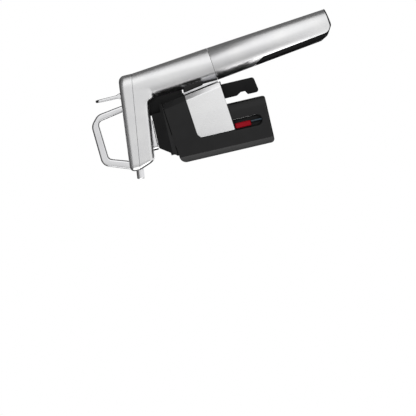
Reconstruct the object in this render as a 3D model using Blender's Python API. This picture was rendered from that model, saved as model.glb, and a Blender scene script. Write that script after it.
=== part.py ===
"""Wine preservation dispenser that clamps on a bottle neck.

The bottle's axis is Z and points out of the bottle. The origin is the middle of the bottle mouth.
+X is the side of the handle, -X is the side of the spout, and Y = 0 is the plane of symmetry.
"""
from math import atan2, cos, pi, radians, sin, sqrt, tan

import bmesh
import bpy
from mathutils import Vector

# Clearances that the whole object shares
GAP = 0.0003
OVERRUN = 0.004

# The head: a cap with a finger loop on a housing that runs down into the handle
HEAD_FRONT_X = -0.0191
HEAD_HALF_WIDTH = 0.014
HEAD_FRONT_RADIUS = 0.006
SEAM_END_X = 0.0675
SEAM_END_Z = 0.0384
SEAM_TILT = radians(7.9)
CAP_TOP_Z = 0.0510
CAP_TOP_TILT = radians(5.8)
CAP_EDGE_RADIUS = 0.0048
STEM_END_X = 0.0417
STEM_END_Z = 0.0287
STEM_TILT = radians(7.3)
STEM_EDGE_RADIUS = 0.0040
STEM_FILLET = 0.0048
FRONT_RAKE_SHARE = 0.36
POCKET_HALF_WIDTH = 0.0085
POCKET_FRONT_X = -0.0085
POCKET_BACK_X = 0.0570
POCKET_DEPTH = 0.0090

# The finger loop, which is one piece with the cap
LOOP_FRONT_X = -0.0179
LOOP_BACK_X = 0.0417
LOOP_BASE_Z = 0.0515
LOOP_TOP_Z = 0.0850
LOOP_HALF_WIDTH = 0.0056
LOOP_EDGE_RADIUS = 0.0024
LOOP_OUTER_SHARES = [(1.0, 0.0), (0.94, 0.77), (0.80, 1.0), (0.17, 0.95), (0.0, 0.13), (0.0, 0.0)]
LOOP_OUTER_RADIUS = 0.0085
LOOP_INNER_SHARES = [(0.16, 0.0), (0.15, 0.21), (0.25, 0.74), (0.83, 0.80), (0.905, 0.0)]
LOOP_INNER_RADIUS = 0.0042

# The handle, whose axis leans away from the bottle below the head
HANDLE_X = 0.0595
HANDLE_Z = -0.0345
HANDLE_TILT = radians(6.3)
HANDLE_RADIUS = 0.0152
HANDLE_TOP_X = 0.05435
HANDLE_TOP_HALF_LENGTH = 0.01315
HANDLE_TOP_POWER = 2.8

# The capsule cup
CUP_LENGTH = 0.1126
CUP_TIP_RADIUS = 0.0132
CUP_TAPER_LENGTH = 0.1060
CUP_SHELL_WALL = 0.0010
CUP_NECK_RADIUS = 0.0123
CUP_NECK_LENGTH = 0.0140
CUP_SOCKET_CLEARANCE = 0.0004
CUP_END_RIM = 0.0018
CUP_END_ROUND = 0.0015
CUP_TIP_SHARE = 0.99
CUP_TIP_SHARES = [(-0.19, 0.998), (-0.80, 0.945), (-1.03, 0.88)]
CUP_UNDER_CORNER = 0.0100
CUP_CUT_START = 0.0260
CUP_CUT_FULL = 0.0450
CUP_CUT_HEIGHT = 0.0076
CUP_CUT_RISE = 0.0015
CUP_CUT_CORNER = 0.0065
CUSHION_THICKNESS = 0.0100

# The gas capsule and what meets it in the head
CAPSULE_RADIUS = 0.0109
CAPSULE_LENGTH = 0.0880
CAPSULE_NECK_RADIUS = 0.0042
CAPSULE_NECK_LENGTH = 0.0070
CAPSULE_SHOULDER = 0.0110
CAPSULE_BORE_CLEARANCE = 0.0003
CAPSULE_WALL = 0.0016
LANCE_RADIUS = 0.0030
LANCE_TIP_RADIUS = 0.0008
LANCE_LENGTH = 0.0100
SEAL_RADIUS = 0.0070
SEAL_BORE_RADIUS = 0.0034
SEAL_THICKNESS = 0.0020
REGULATOR_RADIUS = 0.0088
REGULATOR_LENGTH = 0.0340
REGULATOR_WALL = 0.0020
REGULATOR_FLOOR = 0.0050
PISTON_LENGTH = 0.0080
PISTON_STEM_RADIUS = 0.0018
REGULATOR_SPRING_TURNS = 6
REGULATOR_WIRE = 0.0010

# The rail that guides the head on the base
RAIL_FRONT_X = 0.0264
RAIL_BACK_X = 0.0397
RAIL_TIP_Z = -0.0704
RAIL_HALF_WIDTH = 0.0050
RAIL_NOTCH_Z = -0.0560
RAIL_NOTCH_HALF_LENGTH = 0.0042
RAIL_NOTCH_DEPTH = 0.0025
RAIL_HOOK = 0.0008
RAIL_HOOK_LENGTH = 0.0105
RAIL_TIP_SLOPE = 0.0024
RAIL_CORNER = 0.0025
RAIL_ROOT_Z = -0.0022
RAIL_ROOT_CLEARANCE = 0.0005
TENON_INSET = 0.0020
TENON_HEIGHT = 0.0040
RAIL_SCREW_RADIUS = 0.0015
RAIL_SCREW_LENGTH = 0.0110
RAIL_SCREW_HEAD_RADIUS = 0.0028
RAIL_SCREW_HEAD_HEIGHT = 0.0020

# The needle and its hub
NEEDLE_RADIUS = 0.0010
NEEDLE_BORE_RADIUS = 0.0006
NEEDLE_TIP_Z = -0.0550
NEEDLE_POINT = 0.0045
NEEDLE_TOP_Z = 0.0410
HUB_FRONT_X = -0.0042
HUB_BACK_X = 0.0225
HUB_HALF_WIDTH = 0.0070
HUB_BASE_Z = 0.0301
HUB_CORNER = 0.0035
HUB_STEM_RADIUS = 0.0050

# The spout
SPOUT_ROOT_X = -0.0193
SPOUT_ROOT_Z = 0.0512
SPOUT_TILT = radians(7.0)
SPOUT_RADIUS = 0.0035
SPOUT_BORE_RADIUS = 0.0024
SPOUT_REACH = 0.0078
SPOUT_INSIDE = 0.0085
SPOUT_LIP = 0.0005
SPOUT_GROOVE = 0.0007
SPOUT_GROOVE_WIDTH = 0.0016
SPOUT_SEAL_WIRE = 0.0004

# The valve block and its plunger
BLOCK_BACK_X = 0.0290
BLOCK_HEIGHT = 0.0085
PLUNGER_RADIUS = 0.0012
PLUNGER_FLANGE_RADIUS = 0.0026
PLUNGER_FLANGE = 0.0012
PLUNGER_INSIDE = 0.0120
VALVE_BORE_RADIUS = 0.0032
VALVE_WIRE = 0.0005
VALVE_SPRING_TURNS = 6
VALVE_CAP = 0.0015

# The trigger
TRIGGER_X = 0.0500
TRIGGER_PIVOT_Z = 0.0470
TRIGGER_TIP_Z = 0.0762
TRIGGER_HALF_WIDTH = 0.0065
TRIGGER_ROOT_THICKNESS = 0.0030
TRIGGER_TIP_THICKNESS = 0.0024
TRIGGER_COLLAR_THICKNESS = 0.0060
TRIGGER_COLLAR_Z = 0.0570
TRIGGER_HUB_RADIUS = 0.0034
TRIGGER_ARM_THICKNESS = 0.0020
TRIGGER_RIB_COUNT = 6
TRIGGER_RIB_DEPTH = 0.0003
TRIGGER_SLOT_FRONT = 0.0058
TRIGGER_SLOT_BACK = 0.0046
PIN_RADIUS = 0.0013
PIN_HALF_LENGTH = 0.0110

# The base: guide block on the bottle mouth, and the spine that holds the rail
MOUTH_PAD_THICKNESS = 0.0015
MOUTH_PAD_RADIUS = 0.0126
PLUG_RADIUS = 0.0128
GUIDE_TOP_Z = 0.0293
GUIDE_FRONT_X = -0.0142
GUIDE_TOP_FRONT_X = -0.0036
GUIDE_BACK_X = 0.0352
GUIDE_TOP_BACK_X = 0.0275
GUIDE_HALF_WIDTH = 0.0120
GUIDE_FLANGE_HALF_WIDTH = 0.0185
GUIDE_CORNER = 0.0015
GUIDE_SHOULDER_Z = 0.0205
NEEDLE_BUSH_RADIUS = 0.0030
NEEDLE_BUSH_BORE = 0.0014
CASE_SEAM_X = -0.0142
CASE_SEAM_Z = 0.0137
CASE_SEAM_TILT = radians(-4.9)
SPINE_FRONT_X = 0.0222
SPINE_HALF_WIDTH = 0.0105
SPINE_BASE_Z = -0.0380
BASE_SCREW_X = 0.0300
BASE_SCREW_Y = 0.0082
BASE_SCREW_RADIUS = 0.0011
BASE_SCREW_LENGTH = 0.0120
BASE_SCREW_HEAD_RADIUS = 0.0019
BASE_SCREW_HEAD_HEIGHT = 0.0014
RAIL_CLEARANCE = 0.0004
SADDLE_TOP_Z = -0.0032
SADDLE_END_X = HANDLE_X - HANDLE_RADIUS - GAP
SADDLE_LEAN = 0.0024
SADDLE_TOP_X = SADDLE_END_X - SADDLE_LEAN
SADDLE_END_Z = -0.0357
SADDLE_HALF_WIDTH = 0.0140
SADDLE_THICKNESS = 0.0013
BUMPER_LENGTH = 0.0175
BUMPER_TOP_Z = -0.0034
BUMPER_TOP_HEIGHT = 0.0034
BUMPER_END_HEIGHT = 0.0048
BUMPER_INSET = 0.0003
BUMPER_WIDTH = 0.0030

# The two jaws that close round the neck
NECK_BORE_RADIUS = 0.0145
JAW_FRONT_X = -0.0215
JAW_BACK_X = 0.0213
JAW_HALF_WIDTH = 0.0206
JAW_BOTTOM_Z = -0.0737
JAW_SHOULDER_Z = -0.0389
JAW_CHEEK_X = 0.0430
JAW_CHEEK_BEND_X = 0.0362
JAW_CHEEK_TILT = radians(34)
JAW_TOP_GAP = 0.0005
JAW_CHEEK_INNER_Y = 0.0123
JAW_FRONT_BEVEL = 0.0055
JAW_BACK_RADIUS = 0.0085
JAW_TOP_CORNER = 0.0060
JAW_END_CORNER = 0.0020
JAW_SPLIT = 0.0003
JAW_RELIEF = 0.0018
JAW_RELIEF_Z = 0.0050
JAW_PIN_Y = 0.0170
JAW_PIN_Z = 0.0080
JAW_PIN_RADIUS = 0.0009
JAW_PIN_HALF_LENGTH = 0.0145
JAW_LUG_HALF_LENGTH = 0.0050
JAW_LUG_HALF_THICKNESS = 0.0016
JAW_POCKET_HALF_LENGTH = 0.0112
JAW_POCKET_WALL = 0.0010
JAW_POCKET_DEPTH = 0.0045
JAW_SPRING_RADIUS = 0.0019
JAW_SPRING_WIRE = 0.0005
JAW_SPRING_TURNS = 3

# The satin plate on each jaw
PLATE_THICKNESS = 0.0008
PLATE_LOW_X = -0.0040
PLATE_HIGH_X = 0.0424
PLATE_TOP_Z = -0.0071
PLATE_BOTTOM_Z = -0.0407
PLATE_TILT = radians(5.2)
PLATE_CORNER = 0.0050
PLATE_SMALL_CORNER = 0.0015

# The slot in each jaw, with the grip pad and rod that show in it
SLOT_MIDDLE_X = 0.0015
SLOT_HALF_HEIGHT = 0.0048
SLOT_TOP_Z = -0.0414
SLOT_BOTTOM_Z = -0.0664
SLOT_BEVEL = 0.0008
PAD_LOW_X = -0.0022
PAD_HIGH_X = 0.0027
PAD_BOTTOM_Z = -0.0565
PAD_FLANGE_MARGIN = 0.0030
PAD_FLANGE_INNER_Y = 0.0147
PAD_FLANGE_OUTER_Y = 0.0163
PAD_OUTER_Y = 0.0190
ROD_RADIUS = 0.0013
ROD_BOTTOM_Z = -0.0695

# The spring catch that clicks into the rail's notch
CATCH_Z = 0.0020
CATCH_RADIUS = 0.0015
CATCH_LENGTH = 0.0050
CATCH_BOSS_FRONT_X = 0.0165
CATCH_BOSS_HALF_WIDTH = 0.0036
CATCH_BOSS_HALF_HEIGHT = 0.0040
CATCH_BORE_RADIUS = 0.0018
CATCH_BOSS_WALL = 0.0012
CATCH_WIRE = 0.0003
CATCH_SPRING_TURNS = 4

# Facets on round pieces
COARSE_STEPS = 12
FINE_STEPS = 32
ARC_STEPS = 4
SIDE_WORDS = {1: "left", -1: "right"}


def seam_z(x):
    """Height of the joint between cap and housing."""
    return SEAM_END_Z + (SEAM_END_X - x) * tan(SEAM_TILT)


def cap_top_z(x):
    return CAP_TOP_Z + (SEAM_END_X - x) * tan(CAP_TOP_TILT)


def stem_z(x):
    """Height of the stem's underside, with the fillet where it turns down into the handle."""
    line = STEM_END_Z + (STEM_END_X - x) * tan(STEM_TILT)
    into = min(max(x - (STEM_END_X - STEM_FILLET), 0), STEM_FILLET)
    return line - (STEM_FILLET - sqrt(STEM_FILLET ** 2 - into ** 2))


def case_z(x):
    """Height of the joint between guide block and jaws."""
    return CASE_SEAM_Z - (x - CASE_SEAM_X) * tan(CASE_SEAM_TILT)


def handle_radius(down):
    """Radius of the capsule cup at a distance below the joint with the head."""
    return HANDLE_RADIUS - (HANDLE_RADIUS - CUP_TIP_RADIUS) * down / CUP_TAPER_LENGTH


def handle_under_x(z):
    """How far the underside of the housing's handle lies from the bottle's axis."""
    low_x, high_x = HANDLE_X - HANDLE_RADIUS, HANDLE_TOP_X - HANDLE_TOP_HALF_LENGTH
    low_z = HANDLE_Z - HANDLE_RADIUS * tan(HANDLE_TILT)
    return low_x + (high_x - low_x) * (z - low_z) / (seam_z(high_x) - low_z)


def material(name, colour, roughness, metallic=0):
    made = bpy.data.materials.new(name)
    made.use_nodes = True
    shader = made.node_tree.nodes["Principled BSDF"]
    shader.inputs["Base Color"].default_value = (*colour, 1)
    shader.inputs["Roughness"].default_value = roughness
    shader.inputs["Metallic"].default_value = metallic
    return made


def finish_mesh(name, bm, finish):
    """Turns a bmesh into an object whose faces point outwards."""
    bmesh.ops.recalc_face_normals(bm, faces=bm.faces)
    mesh = bpy.data.meshes.new(name)
    bm.to_mesh(mesh)
    bm.free()
    if finish is not None:
        mesh.materials.append(finish)
    mesh.shade_smooth()
    mesh.set_sharp_from_angle(angle=radians(32))
    made = bpy.data.objects.new(name, mesh)
    bpy.context.scene.collection.objects.link(made)
    return made


def as_cutter(thing):
    thing.hide_render = True
    thing.display_type = "WIRE"
    return thing


def combine(thing, other, operation):
    step = thing.modifiers.new(other.name, "BOOLEAN")
    step.operation = operation
    step.solver = "EXACT"
    step.object = as_cutter(other)


def cut(thing, *cutters):
    for cutter in cutters:
        combine(thing, cutter, "DIFFERENCE")


def join(thing, *others):
    for other in others:
        combine(thing, other, "UNION")


def keep_inside(thing, other):
    combine(thing, other, "INTERSECT")


def rounded(points, radii):
    """A closed outline whose corners are arcs of the given radii."""
    outline = []
    for i, corner in enumerate(points):
        corner = Vector(corner)
        radius = radii[i] if isinstance(radii, (list, tuple)) else radii
        if not radius:
            outline.append(tuple(corner))
            continue
        back = (Vector(points[i - 1]) - corner).normalized()
        ahead = (Vector(points[(i + 1) % len(points)]) - corner).normalized()
        half = back.angle(ahead) / 2
        reach = radius / tan(half)
        middle = corner + (back + ahead).normalized() * radius / sin(half)
        start = corner + back * reach - middle
        end = corner + ahead * reach - middle
        turn = start.angle_signed(end)
        for k in range(ARC_STEPS + 1):
            angle = atan2(start.y, start.x) - turn * k / ARC_STEPS
            outline.append((middle.x + radius * cos(angle), middle.y + radius * sin(angle)))
    return outline


def prism(name, outline, low, high, across="y", finish=None, edge=0, is_soft=None, edge_steps=2):
    """An outline pushed from low to high across its plane, with its edges rounded by edge."""
    lay = {
        "y": lambda u, v, w: (u, w, v),
        "z": lambda u, v, w: (u, v, w),
        "x": lambda u, v, w: (w, u, v),
    }[across]
    bm = bmesh.new()
    bottom = [bm.verts.new(lay(u, v, low)) for u, v in outline]
    face = bm.faces.new(bottom)
    pushed = bmesh.ops.extrude_face_region(bm, geom=[face])
    move = Vector(lay(0, 0, high - low))
    bmesh.ops.translate(bm, vec=move, verts=[v for v in pushed["geom"] if isinstance(v, bmesh.types.BMVert)])
    if edge:
        side = move.normalized()
        rims = [
            e for e in bm.edges
            if abs((e.verts[0].co - e.verts[1].co).dot(side)) < GAP / 10
            and (is_soft is None or is_soft((e.verts[0].co + e.verts[1].co) / 2))
        ]
        bmesh.ops.bevel(bm, geom=rims, offset=edge, segments=edge_steps, profile=0.5, affect="EDGES",
                        clamp_overlap=True)
    return finish_mesh(name, bm, finish)


def box(name, low, high, finish=None):
    outline = [(low[0], low[2]), (high[0], low[2]), (high[0], high[2]), (low[0], high[2])]
    return prism(name, outline, low[1], high[1], "y", finish)


def close_end(bm, row, apex):
    """Fills a ring, from its apex in strips across when the ring isn't flat."""
    if apex is None:
        bm.faces.new(row)
        return
    count = len(row)
    for step in range(count // 2):
        around = (apex + step, apex + step + 1, apex - step - 1, apex - step)
        corners = list(dict.fromkeys(row[i % count] for i in around))
        if len(corners) > 2:
            bm.faces.new(corners)


def loft(name, rings, finish=None, apex=None):
    """Rings of equal count, joined in order and closed at both ends."""
    bm = bmesh.new()
    rows = [[bm.verts.new(point) for point in ring] for ring in rings]
    count = len(rows[0])
    for row, above in zip(rows, rows[1:]):
        for i in range(count):
            j = (i + 1) % count
            bm.faces.new((row[i], row[j], above[j], above[i]))
    close_end(bm, rows[0], apex)
    close_end(bm, rows[-1], apex)
    return finish_mesh(name, bm, finish)


def turned(name, profile, finish=None, steps=FINE_STEPS):
    """A profile of (radius, height) turned about Z. A radius of zero closes it on the axis."""
    bm = bmesh.new()
    rows = []
    for radius, height in profile:
        if radius == 0:
            rows.append([bm.verts.new((0, 0, height))])
            continue
        angles = [2 * pi * k / steps for k in range(steps)]
        rows.append([bm.verts.new((radius * cos(a), radius * sin(a), height)) for a in angles])
    closed = profile[0][0] != 0
    pairs = list(zip(rows, rows[1:])) + ([(rows[-1], rows[0])] if closed else [])
    for row, above in pairs:
        for i in range(steps):
            j = (i + 1) % steps
            corners = [row[i % len(row)], row[j % len(row)], above[j % len(above)], above[i % len(above)]]
            bm.faces.new(list(dict.fromkeys(corners)))
    return finish_mesh(name, bm, finish)


def rod(name, radius, low, high, finish=None, steps=COARSE_STEPS):
    return turned(name, [(0, low), (radius, low), (radius, high), (0, high)], finish, steps)


def place(thing, x=0, y=0, z=0, turn=(0, 0, 0)):
    thing.location = (x, y, z)
    thing.rotation_euler = turn
    return thing


def on_handle(thing):
    """Stands a piece on the handle's axis, with its Z pointing up towards the head."""
    return place(thing, HANDLE_X, 0, HANDLE_Z, (0, -HANDLE_TILT, 0))


def coil(name, radius, wire, length, turns, finish):
    """A spring along Z that starts at zero, wound as one unbroken wire."""
    count = turns * COARSE_STEPS
    curve = bpy.data.curves.new(name, "CURVE")
    curve.dimensions = "3D"
    curve.bevel_depth = wire / 2
    curve.bevel_resolution = 1
    curve.use_fill_caps = True
    line = curve.splines.new("POLY")
    line.points.add(count)
    for k in range(count + 1):
        angle = 2 * pi * turns * k / count
        height = wire / 2 + (length - wire) * k / count
        line.points[k].co = (radius * cos(angle), radius * sin(angle), height, 1)
    curve.materials.append(finish)
    made = bpy.data.objects.new(name, curve)
    bpy.context.scene.collection.objects.link(made)
    print(name, "gap between loops", (length - wire) / turns - wire)
    return made


def inset(plan, depth):
    """Moves the points of a clockwise outline inwards, square to its edges."""
    moved = []
    for i, point in enumerate(plan):
        here = Vector(point)
        first = (here - Vector(plan[i - 1])).normalized()
        second = (Vector(plan[(i + 1) % len(plan)]) - here).normalized()
        across = Vector((first.y + second.y, -first.x - second.x)).normalized()
        reach = depth / across.dot(Vector((first.y, -first.x)))
        moved.append(tuple(here + across * reach))
    return moved


def slab(name, plan, low, high, finish, round_low=0, round_high=0, lean=None, apex=None):
    """A clockwise plan between two height functions, with its lower and upper edges rounded."""
    levels = []
    for k in range(ARC_STEPS + 1 if round_low else 1):
        a = pi / 2 * k / ARC_STEPS if round_low else pi / 2
        levels.append((round_low * (1 - sin(a)), low, round_low * (1 - cos(a))))
    for k in reversed(range(ARC_STEPS + 1 if round_high else 1)):
        a = pi / 2 * k / ARC_STEPS if round_high else pi / 2
        levels.append((round_high * (1 - sin(a)), high, -round_high * (1 - cos(a))))
    rings = []
    for depth, height, shift in levels:
        ring = [(x, y, height(x) + shift) for x, y in (inset(plan, depth) if depth else plan)]
        rings.append([(lean(x, z), y, z) for x, y, z in ring] if lean else ring)
    return loft(name, rings, finish, apex)


def oval(middle, half_length, half_width, power, angle):
    """A point of a rounded rectangle between an ellipse (power 2) and a box."""
    c, s = cos(angle), sin(angle)
    x = half_length * abs(c) ** (2 / power) * (1 if c >= 0 else -1)
    y = half_width * abs(s) ** (2 / power) * (1 if s >= 0 else -1)
    return middle + x, y


def head_plan():
    """The head seen from above, clockwise, from the widest point of the handle's end."""
    half = FINE_STEPS // 2
    back = [
        oval(HANDLE_TOP_X, HANDLE_TOP_HALF_LENGTH, HEAD_HALF_WIDTH, HANDLE_TOP_POWER, pi / 2 - pi * k / half)
        for k in range(half + 1)
    ]
    side = [(STEM_END_X - STEM_FILLET * k / ARC_STEPS, HEAD_HALF_WIDTH) for k in range(ARC_STEPS + 1)]
    for k in range(ARC_STEPS + 1):
        a = pi / 2 * k / ARC_STEPS
        x = HEAD_FRONT_X + HEAD_FRONT_RADIUS * (1 - sin(a))
        side.append((x, HEAD_HALF_WIDTH - HEAD_FRONT_RADIUS * (1 - cos(a))))
    return back + [(x, -y) for x, y in side] + list(reversed(side))


def shares_to_points(shares, low_x, high_x, low_z, high_z):
    return [(low_x + (high_x - low_x) * u, low_z + (high_z - low_z) * v) for u, v in shares]


def trigger_opening():
    low = (TRIGGER_X - TRIGGER_SLOT_FRONT, -TRIGGER_HALF_WIDTH - GAP, seam_z(TRIGGER_X) - OVERRUN)
    high = (TRIGGER_X + TRIGGER_SLOT_BACK, TRIGGER_HALF_WIDTH + GAP, LOOP_TOP_Z)
    return box("trigger_opening", low, high)


def pin_groove():
    """The groove in the cap that the trigger's pin drops into from below."""
    reach = PIN_HALF_LENGTH + GAP
    half = PIN_RADIUS + GAP
    low = (TRIGGER_X - half, -reach, seam_z(TRIGGER_X) - OVERRUN)
    return box("pin_groove", low, (TRIGGER_X + half, reach, TRIGGER_PIVOT_Z + half))


def toward_spout(thing):
    """Stands a piece on the spout's axis, with its Z pointing out of the spout."""
    return place(thing, SPOUT_ROOT_X, 0, SPOUT_ROOT_Z, (0, SPOUT_TILT - pi / 2, 0))


def spout_bore(name):
    end = SPOUT_INSIDE + GAP
    return toward_spout(rod(name, SPOUT_RADIUS + GAP, -end, SPOUT_REACH, steps=FINE_STEPS))


def head_pocket():
    """The pocket for the valve, which follows the joint between cap and housing."""
    corners = [
        (POCKET_FRONT_X, seam_z(POCKET_FRONT_X) - POCKET_DEPTH),
        (POCKET_BACK_X, seam_z(POCKET_BACK_X) - POCKET_DEPTH),
        (POCKET_BACK_X, seam_z(POCKET_BACK_X) + GAP / 2),
        (POCKET_FRONT_X, seam_z(POCKET_FRONT_X) + GAP / 2),
    ]
    return prism("head_pocket", corners, -POCKET_HALF_WIDTH, POCKET_HALF_WIDTH)


def make_cap(silver):
    cap = slab("head_cap", head_plan(), lambda x: seam_z(x) + GAP / 2, cap_top_z, silver,
               round_high=CAP_EDGE_RADIUS)
    sizes = (LOOP_FRONT_X, LOOP_BACK_X, LOOP_BASE_Z, LOOP_TOP_Z)
    outer = rounded(shares_to_points(LOOP_OUTER_SHARES, *sizes), [0, LOOP_OUTER_RADIUS / 2,
                    LOOP_OUTER_RADIUS / 2, LOOP_OUTER_RADIUS, LOOP_OUTER_RADIUS, 0])
    inner = rounded(shares_to_points(LOOP_INNER_SHARES, *sizes), [0, LOOP_INNER_RADIUS,
                    LOOP_INNER_RADIUS, LOOP_INNER_RADIUS, 0])
    outline = outer + inner
    loop = prism("loop_form", outline, -LOOP_HALF_WIDTH, LOOP_HALF_WIDTH, "y", silver, LOOP_EDGE_RADIUS,
                 lambda at: at.z > LOOP_BASE_Z + GAP)
    join(cap, loop)
    cut(cap, trigger_opening(), pin_groove(), spout_bore("spout_bore_in_cap"))
    return cap


def housing_handle(silver):
    """The handle part of the housing: round at the capsule cup, squarer under the cap."""
    rings = []
    levels = 2 * ARC_STEPS
    for k in range(levels + 1):
        share = k / levels
        middle = HANDLE_X + (HANDLE_TOP_X - HANDLE_X) * share
        length = HANDLE_RADIUS + (HANDLE_TOP_HALF_LENGTH - HANDLE_RADIUS) * share
        width = HANDLE_RADIUS + (HEAD_HALF_WIDTH - HANDLE_RADIUS) * share
        power = 2 + (HANDLE_TOP_POWER - 2) * share
        ring = []
        for i in range(FINE_STEPS):
            x, y = oval(middle, length, width, power, -2 * pi * i / FINE_STEPS)
            bottom = HANDLE_Z + GAP / 2 + (x - HANDLE_X) * tan(HANDLE_TILT)
            top = seam_z(x) - GAP / 2
            ring.append((x, y, bottom + (top - bottom) * share))
        rings.append(ring)
    return loft("main_housing", rings, silver)


def make_housing(silver):
    housing = housing_handle(silver)

    def front_lean(x, z):
        """Draws the front of the stem back towards its underside."""
        near = min(max((POCKET_FRONT_X - x) / (POCKET_FRONT_X - HEAD_FRONT_X), 0), 1)
        return x + near * FRONT_RAKE_SHARE * (seam_z(x) - z)

    arm = slab("stem_form", head_plan(), stem_z, lambda x: seam_z(x) - GAP / 2, silver,
               STEM_EDGE_RADIUS, 0, front_lean, FINE_STEPS // 4)
    keep = box("stem_reach", (HEAD_FRONT_X - OVERRUN, -HANDLE_RADIUS - OVERRUN, 0),
               (HANDLE_TOP_X, HANDLE_RADIUS + OVERRUN, LOOP_TOP_Z))
    keep_inside(arm, keep)
    join(housing, arm)
    socket = on_handle(rod("cup_socket", CUP_NECK_RADIUS + CUP_SOCKET_CLEARANCE, -OVERRUN,
                           CUP_NECK_LENGTH + GAP, steps=FINE_STEPS))
    top = CUP_NECK_LENGTH + REGULATOR_LENGTH + 3 * GAP
    bore = on_handle(rod("regulator_bore", REGULATOR_RADIUS + GAP, 0, top, steps=FINE_STEPS))
    hub_top = seam_z(-HUB_STEM_RADIUS) - POCKET_DEPTH + GAP
    hub_hole = rod("hub_hole", HUB_STEM_RADIUS + GAP, HUB_BASE_Z, hub_top)
    cut(housing, socket, bore, head_pocket(), spout_bore("spout_bore_in_housing"), hub_hole,
        tenon("tenon_hole", GAP), rail_screw_hole("rail_screw_hole_in_housing"))
    return housing


def tenon(name, margin, finish=None):
    """The tenon on top of the rail, or the hole for it when margin is a clearance."""
    low_x, high_x = RAIL_FRONT_X + TENON_INSET - margin, STEM_END_X - STEM_FILLET + margin
    half = RAIL_HALF_WIDTH - TENON_INSET + margin
    base = stem_z(STEM_END_X) - OVERRUN
    top = stem_z(high_x) + TENON_HEIGHT / 2 + margin
    return box(name, (low_x, -half, base), (high_x, half, top), finish)


def rail_middle_x():
    return (RAIL_FRONT_X + TENON_INSET + STEM_END_X - STEM_FILLET) / 2


def rail_screw_hole(name):
    top = seam_z(rail_middle_x()) - POCKET_DEPTH + OVERRUN
    bottom = top - RAIL_SCREW_LENGTH - OVERRUN
    return place(rod(name, RAIL_SCREW_RADIUS + GAP, bottom, top), rail_middle_x())


def make_rail(black):
    front, back, tip = RAIL_FRONT_X, RAIL_BACK_X, RAIL_TIP_Z
    bend = STEM_END_X - STEM_FILLET
    hook = front - RAIL_HOOK
    notch = front + RAIL_NOTCH_DEPTH
    root_top = handle_under_x(stem_z(bend)) - RAIL_ROOT_CLEARANCE
    root_low = handle_under_x(RAIL_ROOT_Z) - RAIL_ROOT_CLEARANCE
    corners = [
        (front, stem_z(front) - GAP, 0),
        (bend, stem_z(bend) - GAP, 0),
        (root_top, stem_z(STEM_END_X) - GAP, 0),
        (root_low, RAIL_ROOT_Z, RAIL_HOOK),
        (back, RAIL_ROOT_Z, 0),
        (back, tip + RAIL_TIP_SLOPE, RAIL_CORNER),
        (hook, tip, RAIL_CORNER),
        (hook, tip + RAIL_HOOK_LENGTH, RAIL_HOOK),
        (notch, RAIL_NOTCH_Z - RAIL_NOTCH_HALF_LENGTH / 2, RAIL_HOOK),
        (notch, RAIL_NOTCH_Z + RAIL_NOTCH_HALF_LENGTH / 2, RAIL_HOOK),
        (front, RAIL_NOTCH_Z + RAIL_NOTCH_HALF_LENGTH * 3 / 2, 0),
    ]
    outline = rounded([(x, z) for x, z, radius in corners], [radius for x, z, radius in corners])
    rail = prism("rail", outline, -RAIL_HALF_WIDTH, RAIL_HALF_WIDTH, "y", black, RAIL_HOOK / 2,
                 lambda at: at.z < stem_z(bend) - GAP * 2 - RAIL_CORNER)
    join(rail, tenon("tenon_form", 0, black))
    cut(rail, rail_screw_hole("rail_screw_hole_in_rail"))
    return rail


def make_rail_screw(steel):
    seat = seam_z(rail_middle_x() - RAIL_SCREW_HEAD_RADIUS) - POCKET_DEPTH + GAP
    profile = [
        (0, seat - RAIL_SCREW_LENGTH + OVERRUN),
        (RAIL_SCREW_RADIUS, seat - RAIL_SCREW_LENGTH + OVERRUN),
        (RAIL_SCREW_RADIUS, seat),
        (RAIL_SCREW_HEAD_RADIUS, seat),
        (RAIL_SCREW_HEAD_RADIUS, seat + RAIL_SCREW_HEAD_HEIGHT),
        (0, seat + RAIL_SCREW_HEAD_HEIGHT),
    ]
    return place(turned("rail_screw", profile, steel, COARSE_STEPS), rail_middle_x())


def needle_hole(name, margin, low, high):
    return rod(name, NEEDLE_RADIUS + margin, low, high)


def make_hub(bright):
    corners = [
        (HUB_FRONT_X, HUB_HALF_WIDTH), (HUB_BACK_X, HUB_HALF_WIDTH),
        (HUB_BACK_X, -HUB_HALF_WIDTH), (HUB_FRONT_X, -HUB_HALF_WIDTH),
    ]
    plan = rounded(corners, [HUB_CORNER, 0, 0, HUB_CORNER])
    hub = slab("needle_hub", plan, lambda x: HUB_BASE_Z, lambda x: stem_z(x) - GAP, bright)
    join(hub, rod("hub_stem", HUB_STEM_RADIUS, HUB_BASE_Z + GAP,
                  seam_z(HUB_STEM_RADIUS) - POCKET_DEPTH - GAP, bright))
    cut(hub, needle_hole("needle_hole_in_hub", GAP, HUB_BASE_Z - OVERRUN, SEAM_END_Z + OVERRUN))
    return hub


def make_needle(steel):
    """A closed, pointed tube whose wine inlet is a port in its side, above the point."""
    tip, top = NEEDLE_TIP_Z, NEEDLE_TOP_Z
    floor = tip + NEEDLE_POINT
    profile = [
        (0, tip), (NEEDLE_RADIUS, floor), (NEEDLE_RADIUS, top), (NEEDLE_BORE_RADIUS, top),
        (NEEDLE_BORE_RADIUS, floor), (0, floor),
    ]
    needle = turned("needle", profile, steel, COARSE_STEPS)
    port = box("needle_port", (-NEEDLE_RADIUS - OVERRUN, -NEEDLE_BORE_RADIUS / 2, floor + NEEDLE_RADIUS),
               (0, NEEDLE_BORE_RADIUS / 2, floor + 4 * NEEDLE_RADIUS))
    cut(needle, port)
    return needle


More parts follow.
